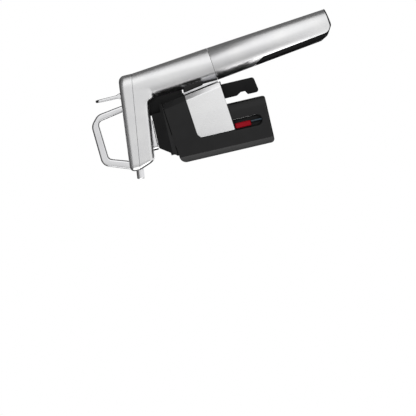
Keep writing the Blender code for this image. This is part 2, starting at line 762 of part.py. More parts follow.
def make_spout(bright):
    groove_low = GAP - SPOUT_INSIDE + SPOUT_GROOVE_WIDTH
    groove_high = groove_low + SPOUT_GROOVE_WIDTH
    profile = [
        (SPOUT_BORE_RADIUS, -SPOUT_INSIDE), (SPOUT_RADIUS, -SPOUT_INSIDE), (SPOUT_RADIUS, groove_low),
        (SPOUT_RADIUS - SPOUT_GROOVE, groove_low), (SPOUT_RADIUS - SPOUT_GROOVE, groove_high),
        (SPOUT_RADIUS, groove_high), (SPOUT_RADIUS, SPOUT_REACH - SPOUT_LIP),
        (SPOUT_RADIUS - SPOUT_LIP, SPOUT_REACH), (SPOUT_BORE_RADIUS + SPOUT_LIP / 2, SPOUT_REACH),
        (SPOUT_BORE_RADIUS, SPOUT_REACH - SPOUT_LIP),
    ]
    return toward_spout(turned("spout", profile, bright))


def make_spout_seal(rubber):
    middle = GAP - SPOUT_INSIDE + 3 * SPOUT_GROOVE_WIDTH / 2
    ring = SPOUT_RADIUS - SPOUT_GROOVE + SPOUT_SEAL_WIRE + GAP / 3
    profile = []
    for k in range(2 * ARC_STEPS):
        a = 2 * pi * k / (2 * ARC_STEPS)
        profile.append((ring + SPOUT_SEAL_WIRE * cos(a), middle + SPOUT_SEAL_WIRE * sin(a)))
    return toward_spout(turned("spout_seal", profile, rubber, FINE_STEPS // 2))


def on_valve(thing, x=BLOCK_BACK_X):
    """Stands a piece on the valve's axis at x, with its Z pointing back towards the trigger."""
    height = seam_z(x) - POCKET_DEPTH / 2 - GAP
    return place(thing, x, 0, height, (0, pi / 2 + SEAM_TILT, 0))


def make_valve_block(brass):
    front, back = POCKET_FRONT_X + GAP, BLOCK_BACK_X
    half = POCKET_HALF_WIDTH - GAP
    low, high = GAP - POCKET_DEPTH, BLOCK_HEIGHT - POCKET_DEPTH
    outline = [(front, seam_z(front) + low), (back, seam_z(back) + low),
               (back, seam_z(back) + high), (front, seam_z(front) + high)]
    block = prism("valve_block", outline, -half, half, "y", brass)
    bore = on_valve(rod("valve_bore", VALVE_BORE_RADIUS, -PLUNGER_INSIDE - 2 * GAP, OVERRUN))
    cut(block, bore, needle_hole("needle_hole_in_block", GAP, HUB_BASE_Z, NEEDLE_TOP_Z + GAP))
    return block


def make_valve_cap(brass):
    outer, inner = VALVE_BORE_RADIUS - GAP, PLUNGER_RADIUS + GAP
    low, high = -VALVE_CAP - GAP, -GAP
    profile = [(inner, low), (outer, low), (outer, high), (inner, high)]
    return on_valve(turned("valve_cap", profile, brass, COARSE_STEPS))


def make_valve_plunger(steel):
    """The valve's stem, with the fork that the trigger's arm pulls."""
    base = -PLUNGER_INSIDE
    arm_at = (TRIGGER_X - BLOCK_BACK_X) / cos(SEAM_TILT)
    fork_half = TRIGGER_ARM_THICKNESS * 2
    profile = [
        (0, base), (PLUNGER_FLANGE_RADIUS, base), (PLUNGER_FLANGE_RADIUS, base + PLUNGER_FLANGE),
        (PLUNGER_RADIUS, base + PLUNGER_FLANGE), (PLUNGER_RADIUS, arm_at - fork_half / 2),
        (0, arm_at - fork_half / 2),
    ]
    plunger = on_valve(turned("valve_plunger", profile, steel, COARSE_STEPS))
    middle_z = seam_z(TRIGGER_X) - POCKET_DEPTH / 2 - GAP
    half = 2 * PLUNGER_RADIUS
    fork = box("fork_form", (TRIGGER_X - fork_half, -half, middle_z - PLUNGER_RADIUS * 3 / 2),
               (TRIGGER_X + fork_half, half, middle_z + PLUNGER_RADIUS * 3 / 2), steel)
    slot_half = TRIGGER_ARM_THICKNESS / 2 + 2 * GAP
    slot = box("fork_slot", (TRIGGER_X - slot_half, -half - OVERRUN, middle_z - PLUNGER_RADIUS / 2),
               (TRIGGER_X + slot_half, half + OVERRUN, middle_z + OVERRUN))
    join(plunger, fork)
    cut(plunger, slot)
    return plunger


def make_valve_spring(steel):
    start = PLUNGER_FLANGE - PLUNGER_INSIDE + GAP
    length = -VALVE_CAP - 2 * GAP - start
    radius = (PLUNGER_RADIUS + VALVE_BORE_RADIUS) / 2
    spring = coil("valve_spring", radius, VALVE_WIRE, length, VALVE_SPRING_TURNS, steel)
    on_valve(spring)
    along = Vector((cos(SEAM_TILT), 0, -sin(SEAM_TILT)))
    spring.location += along * start
    return spring


def make_trigger(bright):
    pivot, tip = TRIGGER_PIVOT_Z, TRIGGER_TIP_Z
    x = TRIGGER_X
    root, end, flare = TRIGGER_ROOT_THICKNESS / 2, TRIGGER_TIP_THICKNESS / 2, TRIGGER_COLLAR_THICKNESS / 2
    arm = TRIGGER_ARM_THICKNESS / 2
    low = seam_z(x) - POCKET_DEPTH / 2 - GAP
    ribs = []
    pitch = (tip - TRIGGER_COLLAR_Z) / (TRIGGER_RIB_COUNT + 2)
    for k in range(TRIGGER_RIB_COUNT):
        z = TRIGGER_COLLAR_Z + pitch * (k + 3 / 2)
        ribs += [(x - root, z), (x - root + TRIGGER_RIB_DEPTH, z + pitch / 4),
                 (x - root, z + pitch / 2)]
    corners = [
        (x + arm, low, arm / 2), (x + arm, pivot, 0), (x + root, pivot, 0), (x + root, cap_top_z(x), 0),
        (x + root, TRIGGER_COLLAR_Z, 0), (x + end, tip, end * 3 / 4), (x - end, tip, end * 3 / 4),
        *[(u, v, 0) for u, v in reversed(ribs)],
        (x - root, TRIGGER_COLLAR_Z, root), (x - flare, cap_top_z(x) + GAP, GAP),
        (x - root, cap_top_z(x) - GAP, 0), (x - root, pivot, 0), (x - arm, pivot, 0), (x - arm, low, arm / 2),
    ]
    outline = rounded([(u, v) for u, v, radius in corners], [radius for u, v, radius in corners])
    trigger = prism("trigger", outline, -TRIGGER_HALF_WIDTH, TRIGGER_HALF_WIDTH, "y", bright)
    hub = rod("trigger_hub", TRIGGER_HUB_RADIUS, -TRIGGER_HALF_WIDTH, TRIGGER_HALF_WIDTH, bright, FINE_STEPS // 2)
    place(hub, TRIGGER_X, 0, TRIGGER_PIVOT_Z, (pi / 2, 0, 0))
    hole = rod("trigger_pin_hole", PIN_RADIUS + GAP, -TRIGGER_HALF_WIDTH - OVERRUN,
               TRIGGER_HALF_WIDTH + OVERRUN)
    place(hole, TRIGGER_X, 0, TRIGGER_PIVOT_Z, (pi / 2, 0, 0))
    join(trigger, hub)
    cut(trigger, hole)
    narrow = PLUNGER_RADIUS * 2
    for side in (-1, 1):
        outer = side * (TRIGGER_HALF_WIDTH + OVERRUN)
        inner = side * narrow
        waste = box(f"arm_waste_{side + 1}",
                    (x - flare, min(outer, inner), low - OVERRUN),
                    (x + flare, max(outer, inner), pivot - TRIGGER_HUB_RADIUS))
        cut(trigger, waste)
    return trigger


def make_trigger_pin(steel):
    pin = rod("trigger_pin", PIN_RADIUS, -PIN_HALF_LENGTH, PIN_HALF_LENGTH, steel)
    return place(pin, TRIGGER_X, 0, TRIGGER_PIVOT_Z, (pi / 2, 0, 0))


def regulator_base():
    return CUP_NECK_LENGTH + 2 * GAP


def make_regulator(brass):
    low = regulator_base()
    high = low + REGULATOR_LENGTH
    inner = REGULATOR_RADIUS - REGULATOR_WALL
    seat = LANCE_RADIUS + GAP
    shelf = low + REGULATOR_FLOOR * 3 / 5
    profile = [
        (seat, low), (REGULATOR_RADIUS, low), (REGULATOR_RADIUS, high), (inner, high),
        (inner, low + REGULATOR_FLOOR), (LANCE_RADIUS / 2, low + REGULATOR_FLOOR),
        (LANCE_RADIUS / 2, shelf), (seat, shelf),
    ]
    return on_handle(turned("regulator_body", profile, brass))


def make_lance(steel):
    low = regulator_base()
    top = low + REGULATOR_FLOOR * 3 / 5 - GAP
    profile = [
        (0, top - LANCE_LENGTH), (LANCE_TIP_RADIUS, top - LANCE_LENGTH + 2 * LANCE_TIP_RADIUS),
        (LANCE_TIP_RADIUS, low), (LANCE_RADIUS, low), (LANCE_RADIUS, top), (0, top),
    ]
    return on_handle(turned("lance", profile, steel, COARSE_STEPS))


def make_capsule_seal(rubber):
    high = regulator_base() - GAP
    low = high - SEAL_THICKNESS
    profile = [(SEAL_BORE_RADIUS, low), (SEAL_RADIUS, low), (SEAL_RADIUS, high), (SEAL_BORE_RADIUS, high)]
    return on_handle(turned("capsule_seal", profile, rubber, FINE_STEPS // 2))


def piston_base():
    return regulator_base() + (REGULATOR_LENGTH + REGULATOR_FLOOR) / 2


def make_piston(brass):
    base = piston_base()
    radius = REGULATOR_RADIUS - REGULATOR_WALL - GAP
    stem = base - (base - regulator_base() - REGULATOR_FLOOR) / 2
    top = regulator_base() + REGULATOR_LENGTH
    profile = [
        (0, stem), (PISTON_STEM_RADIUS, stem), (PISTON_STEM_RADIUS, base), (radius, base),
        (radius, base + PISTON_LENGTH), (PISTON_STEM_RADIUS, base + PISTON_LENGTH),
        (PISTON_STEM_RADIUS, top), (0, top),
    ]
    return on_handle(turned("regulator_piston", profile, brass, FINE_STEPS // 2))


def make_regulator_spring(steel):
    start = regulator_base() + REGULATOR_FLOOR + GAP
    length = piston_base() - GAP - start
    radius = (PISTON_STEM_RADIUS + REGULATOR_RADIUS - REGULATOR_WALL) / 2
    spring = coil("regulator_spring", radius, REGULATOR_WIRE, length, REGULATOR_SPRING_TURNS, steel)
    on_handle(spring)
    spring.location += Vector((-sin(HANDLE_TILT), 0, cos(HANDLE_TILT))) * start
    return spring


def make_capsule(metal):
    top = CUP_NECK_LENGTH + 2 * GAP - SEAL_THICKNESS - 2 * GAP
    neck = top - CAPSULE_NECK_LENGTH
    shoulder = neck - CAPSULE_SHOULDER
    bottom = top - CAPSULE_LENGTH
    profile = [(0, top), (CAPSULE_NECK_RADIUS, top), (CAPSULE_NECK_RADIUS, neck)]
    for k in range(1, ARC_STEPS + 1):
        a = pi / 2 * k / ARC_STEPS
        radius = CAPSULE_NECK_RADIUS + (CAPSULE_RADIUS - CAPSULE_NECK_RADIUS) * sin(a)
        profile.append((radius, neck - (neck - shoulder) * (1 - cos(a))))
    base = CAPSULE_RADIUS / 2
    for k in range(ARC_STEPS + 1):
        a = pi / 2 * k / ARC_STEPS
        profile.append((CAPSULE_RADIUS - base + base * cos(a), bottom + base * (1 - sin(a))))
    profile.append((0, bottom))
    capsule = on_handle(turned("gas_capsule", profile, metal, FINE_STEPS))
    pierced = on_handle(rod("pierced_hole", LANCE_TIP_RADIUS + GAP, shoulder - OVERRUN, top + OVERRUN))
    inside = CAPSULE_RADIUS - CAPSULE_WALL
    room = on_handle(rod("gas_room", inside, bottom + 2 * CAPSULE_WALL, shoulder, steps=FINE_STEPS))
    cut(capsule, pierced, room)
    return capsule


def capsule_bottom():
    return CUP_NECK_LENGTH - SEAL_THICKNESS - CAPSULE_LENGTH


def cup_side_form(name):
    """What is left of the cup seen from the side: its far end is cut square above, sloped below."""
    wide = HANDLE_RADIUS + OVERRUN
    slope = shares_to_points(CUP_TIP_SHARES, 0, CUP_TIP_RADIUS, 0, -CUP_LENGTH)
    top = CUP_NECK_LENGTH + OVERRUN
    corners = [(wide, top), (wide, CUP_TIP_SHARE * -CUP_LENGTH), *slope, (-wide, -CUP_CUT_FULL * 2),
               (-wide, top)]
    radii = [0, 0, CUP_UNDER_CORNER / 2, CUP_UNDER_CORNER / 2, CUP_UNDER_CORNER, 0, 0]
    return on_handle(prism(name, rounded(corners, radii), -wide, wide))


def cup_window(name, margin):
    """The window under the cup where its core shows, shrunk by margin."""
    wide = HANDLE_RADIUS + OVERRUN
    low = -CUP_CUT_HEIGHT - margin
    end = -(CUP_LENGTH - CUP_END_RIM) - margin
    corners = [
        (-wide, -CUP_CUT_START - margin), (low - CUP_CUT_RISE, -CUP_CUT_FULL - margin),
        (low, end), (wide, end), (wide, -CUP_LENGTH - 2 * OVERRUN), (-wide, -CUP_LENGTH - 2 * OVERRUN),
    ]
    radii = [0, CUP_CUT_CORNER, CUP_CUT_CORNER, 0, 0, 0]
    return on_handle(prism(name, rounded(corners, radii), -wide, wide))


def make_cup_shell(silver):
    top, end = -GAP / 2, CUP_END_RIM - CUP_LENGTH
    inner = CUP_SHELL_WALL
    profile = [
        (handle_radius(-top) - inner, top), (handle_radius(-top), top),
        (handle_radius(-end), end), (handle_radius(-end) - inner, end),
    ]
    shell = on_handle(turned("cup_shell", profile, silver))
    keep_inside(shell, cup_side_form("cup_side_of_shell"))
    cut(shell, cup_window("cup_window_in_shell", 0))
    return shell


def make_cup_core(black):
    """The black core: it shows in the window and at the end, and its neck screws into the head."""
    low, high, top = -CUP_LENGTH, -GAP / 2, CUP_NECK_LENGTH
    bore = CAPSULE_RADIUS + CAPSULE_BORE_CLEARANCE
    floor = capsule_bottom() - CUSHION_THICKNESS - 2 * GAP
    rim = [(handle_radius(-low) - CUP_END_ROUND * (1 - sin(a)), low + CUP_END_ROUND * (1 - cos(a)))
           for a in (pi / 2 * k / ARC_STEPS for k in range(ARC_STEPS + 1))]
    solid = [
        (0, low), *rim, (handle_radius(-high), high), (CUP_NECK_RADIUS, high),
        (CUP_NECK_RADIUS, top), (bore, top), (bore, floor), (0, floor),
    ]
    core = on_handle(turned("cup_core", solid, black))
    keep_inside(core, cup_side_form("cup_side_of_core"))
    inner = CUP_SHELL_WALL + GAP
    profile = [
        (handle_radius(-OVERRUN) - inner, OVERRUN), (HANDLE_RADIUS + OVERRUN, OVERRUN),
        (HANDLE_RADIUS + OVERRUN, low - OVERRUN), (handle_radius(-low + OVERRUN) - inner, low - OVERRUN),
    ]
    room = on_handle(turned("shell_room", profile))
    cut(room, cup_window("cup_window_in_room", GAP))
    cut(core, room)
    return core


def make_cushion(rubber):
    high = capsule_bottom() - GAP
    low = high - CUSHION_THICKNESS
    return on_handle(rod("cup_cushion", CAPSULE_RADIUS, low, high, rubber, FINE_STEPS // 2))


def make_guide(black):
    """The block on the bottle mouth, with the plug in the jaws and the lugs of their pins."""
    front, back, top = GUIDE_FRONT_X, GUIDE_BACK_X, GUIDE_TOP_Z
    corners = [
        (front, case_z(front) + GAP / 2, 0), (GUIDE_TOP_FRONT_X, top, GUIDE_CORNER),
        (GUIDE_TOP_BACK_X, top, GUIDE_CORNER), (GUIDE_TOP_BACK_X, GUIDE_SHOULDER_Z, GUIDE_CORNER),
        (back, GUIDE_SHOULDER_Z, GUIDE_CORNER / 2), (back, case_z(back) + GAP / 2, 0),
    ]
    outline = rounded([(x, z) for x, z, radius in corners], [radius for x, z, radius in corners])
    guide = prism("guide_block", outline, -GUIDE_FLANGE_HALF_WIDTH, GUIDE_FLANGE_HALF_WIDTH, "y", black)
    wide, narrow = GUIDE_FLANGE_HALF_WIDTH, GUIDE_HALF_WIDTH
    bend = case_z(back) + GAP
    ends = [(-wide, 0), (wide, 0), (wide, bend), (narrow, top + GAP), (-narrow, top + GAP), (-wide, bend)]
    radii = [0, 0, GUIDE_CORNER, GUIDE_CORNER, GUIDE_CORNER, GUIDE_CORNER]
    keep_inside(guide, prism("guide_ends", rounded(ends, radii), front - OVERRUN, back + OVERRUN, "x"))
    plug = rod("guide_plug", PLUG_RADIUS, MOUTH_PAD_THICKNESS + GAP, GUIDE_SHOULDER_Z - GAP, black, FINE_STEPS)
    join(guide, plug)
    for side in (-1, 1):
        lug = box(f"guide_lug_{side + 1}",
                  (-JAW_LUG_HALF_LENGTH, side * JAW_PIN_Y - JAW_LUG_HALF_THICKNESS,
                   JAW_PIN_Z - JAW_LUG_HALF_THICKNESS),
                  (JAW_LUG_HALF_LENGTH, side * JAW_PIN_Y + JAW_LUG_HALF_THICKNESS, case_z(back) + GAP), black)
        join(guide, lug)
    bush_hole = rod("bush_hole", NEEDLE_BUSH_RADIUS + GAP, GUIDE_SHOULDER_Z, top + OVERRUN, None, COARSE_STEPS)
    needle_way = rod("needle_way", NEEDLE_BUSH_BORE + GAP, -OVERRUN, top)
    cut(guide, bush_hole, needle_way, rail_tunnel("rail_tunnel_in_guide", RAIL_FRONT_X), *pin_holes("guide"),
        *base_screw_forms("screw_hole_in_guide", GAP))
    return guide


def make_mouth_pad(rubber):
    inner = PLUG_RADIUS / 2
    profile = [(inner, 0), (MOUTH_PAD_RADIUS, 0), (MOUTH_PAD_RADIUS, MOUTH_PAD_THICKNESS),
               (inner, MOUTH_PAD_THICKNESS)]
    return turned("mouth_pad", profile, rubber)


def make_needle_bush(brass):
    low, high = GUIDE_SHOULDER_Z + GAP, GUIDE_TOP_Z - GAP
    profile = [(NEEDLE_BUSH_BORE, low), (NEEDLE_BUSH_RADIUS, low), (NEEDLE_BUSH_RADIUS, high),
               (NEEDLE_BUSH_BORE, high)]
    return turned("needle_bush", profile, brass, COARSE_STEPS)


def rail_tunnel(name, front):
    half = RAIL_HALF_WIDTH + RAIL_CLEARANCE
    low = (front - RAIL_CLEARANCE, -half, SPINE_BASE_Z - OVERRUN)
    return box(name, low, (SADDLE_END_X + OVERRUN, half, GUIDE_TOP_Z + OVERRUN))


def pin_holes(owner):
    holes = []
    reach = JAW_PIN_HALF_LENGTH + GAP
    for side in (-1, 1):
        hole = rod(f"pin_hole_in_{owner}_{side + 1}", JAW_PIN_RADIUS + GAP, -reach, reach)
        holes.append(place(hole, 0, side * JAW_PIN_Y, JAW_PIN_Z, (0, pi / 2, 0)))
    return holes


def base_screw_forms(owner, margin, finish=None):
    """The two screws that hold the guide block on the spine, or their holes."""
    forms = []
    seat = GUIDE_SHOULDER_Z - BASE_SCREW_HEAD_HEIGHT - GAP
    for side in (-1, 1):
        profile = [
            (0, seat - BASE_SCREW_LENGTH - margin), (BASE_SCREW_RADIUS + margin, seat - BASE_SCREW_LENGTH - margin),
            (BASE_SCREW_RADIUS + margin, seat - margin), (BASE_SCREW_HEAD_RADIUS + margin, seat - margin),
            (BASE_SCREW_HEAD_RADIUS + margin, seat + BASE_SCREW_HEAD_HEIGHT + margin * OVERRUN / GAP),
            (0, seat + BASE_SCREW_HEAD_HEIGHT + margin * OVERRUN / GAP),
        ]
        form = turned(f"{owner}_{SIDE_WORDS[side]}", profile, finish, COARSE_STEPS)
        forms.append(place(form, BASE_SCREW_X, side * BASE_SCREW_Y))
    return forms


def saddle_x(z):
    """The saddle's top face, which leans out towards its lower end."""
    return SADDLE_TOP_X + (SADDLE_END_X - SADDLE_TOP_X) * (SADDLE_TOP_Z - z) / (SADDLE_TOP_Z - SADDLE_END_Z)


def spine_back_x(z):
    """The spine's back: under the saddle below its top end, and drawn in above it."""
    if z <= SADDLE_TOP_Z:
        return saddle_x(z) - SADDLE_THICKNESS - GAP
    share = (z - SADDLE_TOP_Z) / (case_z(GUIDE_BACK_X) - SADDLE_TOP_Z)
    low = saddle_x(SADDLE_TOP_Z) - SADDLE_THICKNESS - GAP
    return low + (GUIDE_BACK_X - low) * share


def make_spine(black):
    """The channel behind the neck that the rail runs in."""
    back_z = case_z(GUIDE_BACK_X) - GAP
    outline = [
        (SPINE_FRONT_X, case_z(SPINE_FRONT_X) - GAP), (spine_back_x(back_z), back_z),
        (spine_back_x(SADDLE_TOP_Z), SADDLE_TOP_Z), (spine_back_x(SPINE_BASE_Z), SPINE_BASE_Z),
        (SPINE_FRONT_X, SPINE_BASE_Z),
    ]
    spine = prism("rail_housing", outline, -SPINE_HALF_WIDTH, SPINE_HALF_WIDTH, "y", black)
    boss = box("catch_boss", (CATCH_BOSS_FRONT_X, -CATCH_BOSS_HALF_WIDTH, CATCH_Z - CATCH_BOSS_HALF_HEIGHT),
               (SPINE_FRONT_X + GAP, CATCH_BOSS_HALF_WIDTH, CATCH_Z + CATCH_BOSS_HALF_HEIGHT), black)
    join(spine, boss)
    bore = rod("catch_bore", CATCH_BORE_RADIUS, CATCH_BOSS_FRONT_X + CATCH_BOSS_WALL, RAIL_FRONT_X + OVERRUN)
    place(bore, 0, 0, CATCH_Z, (0, pi / 2, 0))
    cut(spine, rail_tunnel("rail_tunnel_in_spine", RAIL_FRONT_X - RAIL_HOOK), bore, *base_screw_forms("screw_hole_in_spine", GAP))
    return spine


def make_saddle(metal):
    """The plate that the capsule cup rests over, and that closes the rail's channel."""
    low_x, top_x = saddle_x(SADDLE_END_Z), saddle_x(SADDLE_TOP_Z)
    outline = [
        (top_x, SADDLE_TOP_Z), (low_x, SADDLE_END_Z), (low_x - SADDLE_THICKNESS, SADDLE_END_Z),
        (top_x - SADDLE_THICKNESS, SADDLE_TOP_Z),
    ]
    return prism("nest_saddle", outline, -SADDLE_HALF_WIDTH, SADDLE_HALF_WIDTH, "y", metal,
                 SADDLE_THICKNESS / 4, None, 1)


def make_bumpers(rubber):
    pieces = []
    high, low = BUMPER_TOP_Z, BUMPER_TOP_Z - BUMPER_LENGTH
    outer = SADDLE_HALF_WIDTH - BUMPER_INSET
    for side in (-1, 1):
        corners = [
            (saddle_x(high) + GAP, high), (saddle_x(high) + BUMPER_TOP_HEIGHT, high),
            (saddle_x(low) + BUMPER_END_HEIGHT, low), (saddle_x(low) + GAP, low),
        ]
        radius = BUMPER_WIDTH / 2
        outline = rounded(corners, [GAP, radius, radius, GAP])
        ends = sorted((side * outer, side * (outer - BUMPER_WIDTH)))
        name = f"saddle_bumper_{SIDE_WORDS[side]}"
        pieces.append(prism(name, outline, ends[0], ends[1], "y", rubber, BUMPER_WIDTH / 5))
    return pieces


def make_jaw_pins(steel):
    pieces = []
    for side in (-1, 1):
        name = f"jaw_pin_{SIDE_WORDS[side]}"
        pin = rod(name, JAW_PIN_RADIUS, -JAW_PIN_HALF_LENGTH, JAW_PIN_HALF_LENGTH, steel)
        pieces.append(place(pin, 0, side * JAW_PIN_Y, JAW_PIN_Z, (0, pi / 2, 0)))
    return pieces


def make_jaw_spring(name, side, steel):
    start = JAW_LUG_HALF_LENGTH + GAP
    length = JAW_POCKET_HALF_LENGTH - GAP - start
    spring = coil(name, JAW_SPRING_RADIUS, JAW_SPRING_WIRE, length, JAW_SPRING_TURNS, steel)
    return place(spring, start, side * JAW_PIN_Y, JAW_PIN_Z, (0, pi / 2, 0))


def make_catch(steel):
    """A round-nosed plunger that rides on the rail."""
    nose = RAIL_FRONT_X - GAP
    base = nose - CATCH_LENGTH
    profile = [(0, base), (CATCH_RADIUS, base), (CATCH_RADIUS, nose - CATCH_RADIUS)]
    for k in range(1, ARC_STEPS + 1):
        a = pi / 2 * k / ARC_STEPS
        radius = CATCH_RADIUS * cos(a) if k < ARC_STEPS else 0
        profile.append((radius, nose - CATCH_RADIUS * (1 - sin(a))))
    plunger = turned("catch_plunger", profile, steel, COARSE_STEPS)
    return place(plunger, 0, 0, CATCH_Z, (0, pi / 2, 0))


def make_catch_spring(steel):
    start = CATCH_BOSS_FRONT_X + CATCH_BOSS_WALL + GAP
    length = RAIL_FRONT_X - CATCH_LENGTH - 2 * GAP - start
    radius = CATCH_BORE_RADIUS - GAP - CATCH_WIRE
    spring = coil("catch_spring", radius, CATCH_WIRE, length, CATCH_SPRING_TURNS, steel)
    return place(spring, start, 0, CATCH_Z, (0, pi / 2, 0))


def jaw_side_outline():
    """A jaw seen from the side, with its cheek beside the spine."""
    front, back, low = JAW_FRONT_X, JAW_BACK_X, JAW_BOTTOM_Z
    clear = JAW_TOP_GAP
    cheek_low = PLATE_BOTTOM_Z + JAW_CHEEK_X * tan(PLATE_TILT) - GAP
    corners = [
        (front, low, JAW_END_CORNER), (front, case_z(front) - clear, JAW_TOP_CORNER),
        (GUIDE_BACK_X, case_z(GUIDE_BACK_X) - clear, GUIDE_CORNER),
        (spine_back_x(SADDLE_TOP_Z), SADDLE_TOP_Z, 0), (spine_back_x(cheek_low), cheek_low, JAW_END_CORNER),
        (back, JAW_SHOULDER_Z, 0), (back, low, JAW_END_CORNER),
    ]
    return rounded([(x, z) for x, z, radius in corners], [radius for x, z, radius in corners])


def make_jaw(name, side, black):
    """Half of the sleeve round the neck. Its pin lets its lower end swing away from the neck."""
    split, wide = JAW_SPLIT / 2, JAW_HALF_WIDTH
    front, back = JAW_FRONT_X, JAW_BACK_X
    high = case_z(GUIDE_BACK_X) + OVERRUN
    corners = [
        (front, split, 0), (front, wide - JAW_FRONT_BEVEL, GUIDE_CORNER),
        (front + JAW_FRONT_BEVEL, wide, GUIDE_CORNER), (back, wide, JAW_BACK_RADIUS), (back, split, 0),
    ]
    outline = rounded([(x, side * y) for x, y, radius in corners], [radius for x, y, radius in corners])
    jaw = prism(name, outline, JAW_BOTTOM_Z - OVERRUN, high, "z", black)
    drop = (JAW_CHEEK_X - JAW_CHEEK_BEND_X) * tan(JAW_CHEEK_TILT)
    plan = [(0, JAW_CHEEK_INNER_Y), (0, wide), (JAW_CHEEK_BEND_X, wide), (JAW_CHEEK_X, wide - drop),
            (JAW_CHEEK_X, JAW_CHEEK_INNER_Y)]
    cheek = prism(f"{name}_cheek", [(x, side * y) for x, y in plan],
                  JAW_SHOULDER_Z - JAW_END_CORNER, high, "z", black)
    join(jaw, cheek)
    reach = sorted((-side * OVERRUN, side * (wide + OVERRUN)))
    keep_inside(jaw, prism(f"{name}_side_form", jaw_side_outline(), reach[0], reach[1]))
    neck = rod(f"{name}_neck_bore", NECK_BORE_RADIUS, JAW_BOTTOM_Z - 2 * OVERRUN, high + OVERRUN, steps=FINE_STEPS)
    relief = box(f"{name}_front_relief", (front - OVERRUN, -JAW_RELIEF, JAW_RELIEF_Z),
                 (0, JAW_RELIEF, high + OVERRUN))
    clear = CATCH_BOSS_HALF_WIDTH + JAW_RELIEF
    catch_room = box(f"{name}_catch_room", (0, -clear, CATCH_Z - 2 * CATCH_BOSS_HALF_HEIGHT),
                     (back + OVERRUN, clear, high + OVERRUN))
    inner, outer = NECK_BORE_RADIUS - OVERRUN, wide - JAW_POCKET_WALL
    ends = sorted((side * inner, side * outer))
    pocket = box(f"{name}_lug_pocket", (-JAW_POCKET_HALF_LENGTH, ends[0], JAW_PIN_Z - JAW_POCKET_DEPTH),
                 (JAW_POCKET_HALF_LENGTH, ends[1], high + OVERRUN))
    cut(jaw, neck, relief, catch_room, pocket, *pin_holes(name), *slot_forms(name, side))
    return jaw


def slot_outline(margin):
    """The slot in the jaw's side, square under the plate and round at its lower end."""
    half = SLOT_HALF_HEIGHT + margin
    low_x, high_x = SLOT_MIDDLE_X - half, SLOT_MIDDLE_X + half
    radius = half - GAP
    corners = [(low_x, SLOT_TOP_Z), (high_x, SLOT_TOP_Z), (high_x, SLOT_BOTTOM_Z - margin),
               (low_x, SLOT_BOTTOM_Z - margin)]
    return rounded(corners, [0, 0, radius, radius])


def slot_forms(name, side):
    wide = JAW_HALF_WIDTH
    through = sorted((side * (NECK_BORE_RADIUS - SLOT_HALF_HEIGHT), side * (wide + OVERRUN)))
    shallow = sorted((side * (wide - SLOT_BEVEL), side * (wide + OVERRUN)))
    recess = sorted((side * (NECK_BORE_RADIUS - SLOT_HALF_HEIGHT), side * (PAD_FLANGE_OUTER_Y + GAP)))
    margin = PAD_FLANGE_MARGIN + GAP
    forms = [
        prism(f"{name}_slot", slot_outline(0), through[0], through[1]),
        prism(f"{name}_slot_rim", slot_outline(SLOT_BEVEL), shallow[0], shallow[1]),
        box(f"{name}_pad_recess",
            (PAD_LOW_X - margin, recess[0], SLOT_BOTTOM_Z - margin),
            (PAD_HIGH_X + margin, recess[1], SLOT_TOP_Z + margin)),
    ]
    hole = rod(f"{name}_rod_hole", ROD_RADIUS + GAP, ROD_BOTTOM_Z - GAP, PAD_BOTTOM_Z)
    forms.append(place(hole, SLOT_MIDDLE_X, side * rod_y()))
    return forms


def rod_y():
    return PAD_FLANGE_OUTER_Y + GAP + ROD_RADIUS


def make_neck_pad(name, side, red):
    flange = sorted((side * PAD_FLANGE_INNER_Y, side * PAD_FLANGE_OUTER_Y))
    margin = PAD_FLANGE_MARGIN
    pad = box(name, (PAD_LOW_X - margin, flange[0], SLOT_BOTTOM_Z - margin),
              (PAD_HIGH_X + margin, flange[1], SLOT_TOP_Z + margin), red)
    bar = sorted((side * (PAD_FLANGE_OUTER_Y - GAP), side * PAD_OUTER_Y))
    outline = [(PAD_LOW_X, PAD_BOTTOM_Z), (PAD_HIGH_X, PAD_BOTTOM_Z), (PAD_HIGH_X, SLOT_TOP_Z - GAP),
               (PAD_LOW_X, SLOT_TOP_Z - GAP)]
    join(pad, prism(f"{name}_bar", outline, bar[0], bar[1], "y", red))
    return pad


def make_slot_rod(name, side, steel):
    return place(rod(name, ROD_RADIUS, ROD_BOTTOM_Z, PAD_BOTTOM_Z - GAP, steel), SLOT_MIDDLE_X, side * rod_y())


def make_plate(name, side, satin):
    """A satin sheet on the jaw's flat side, bent in over the cheek."""
    inner = JAW_HALF_WIDTH + GAP
    outer = inner + PLATE_THICKNESS
    low_x, high_x = PLATE_LOW_X, PLATE_HIGH_X
    bend = JAW_CHEEK_BEND_X + GAP
    rise = PLATE_THICKNESS * tan(JAW_CHEEK_TILT / 2)
    end = high_x + OVERRUN
    plan = [
        (low_x - GAP, inner), (low_x - GAP, outer), (bend + rise, outer),
        (end, outer - (end - bend - rise) * tan(JAW_CHEEK_TILT)),
        (end, inner - (end - bend) * tan(JAW_CHEEK_TILT)), (bend, inner),
    ]
    plate = prism(name, [(x, side * y) for x, y in plan], PLATE_BOTTOM_Z - OVERRUN, OVERRUN, "z", satin)
    slope = tan(PLATE_TILT)
    corners = [
        (low_x, PLATE_TOP_Z + low_x * slope), (high_x, PLATE_TOP_Z + high_x * slope),
        (high_x, PLATE_BOTTOM_Z + high_x * slope), (low_x, PLATE_BOTTOM_Z + low_x * slope),
    ]
    small = PLATE_SMALL_CORNER
    outline = rounded(corners, [PLATE_CORNER, small, small, small])
    reach = sorted((0, side * (outer + OVERRUN)))
    keep_inside(plate, prism(f"{name}_side_form", outline, reach[0], reach[1]))
    return plate


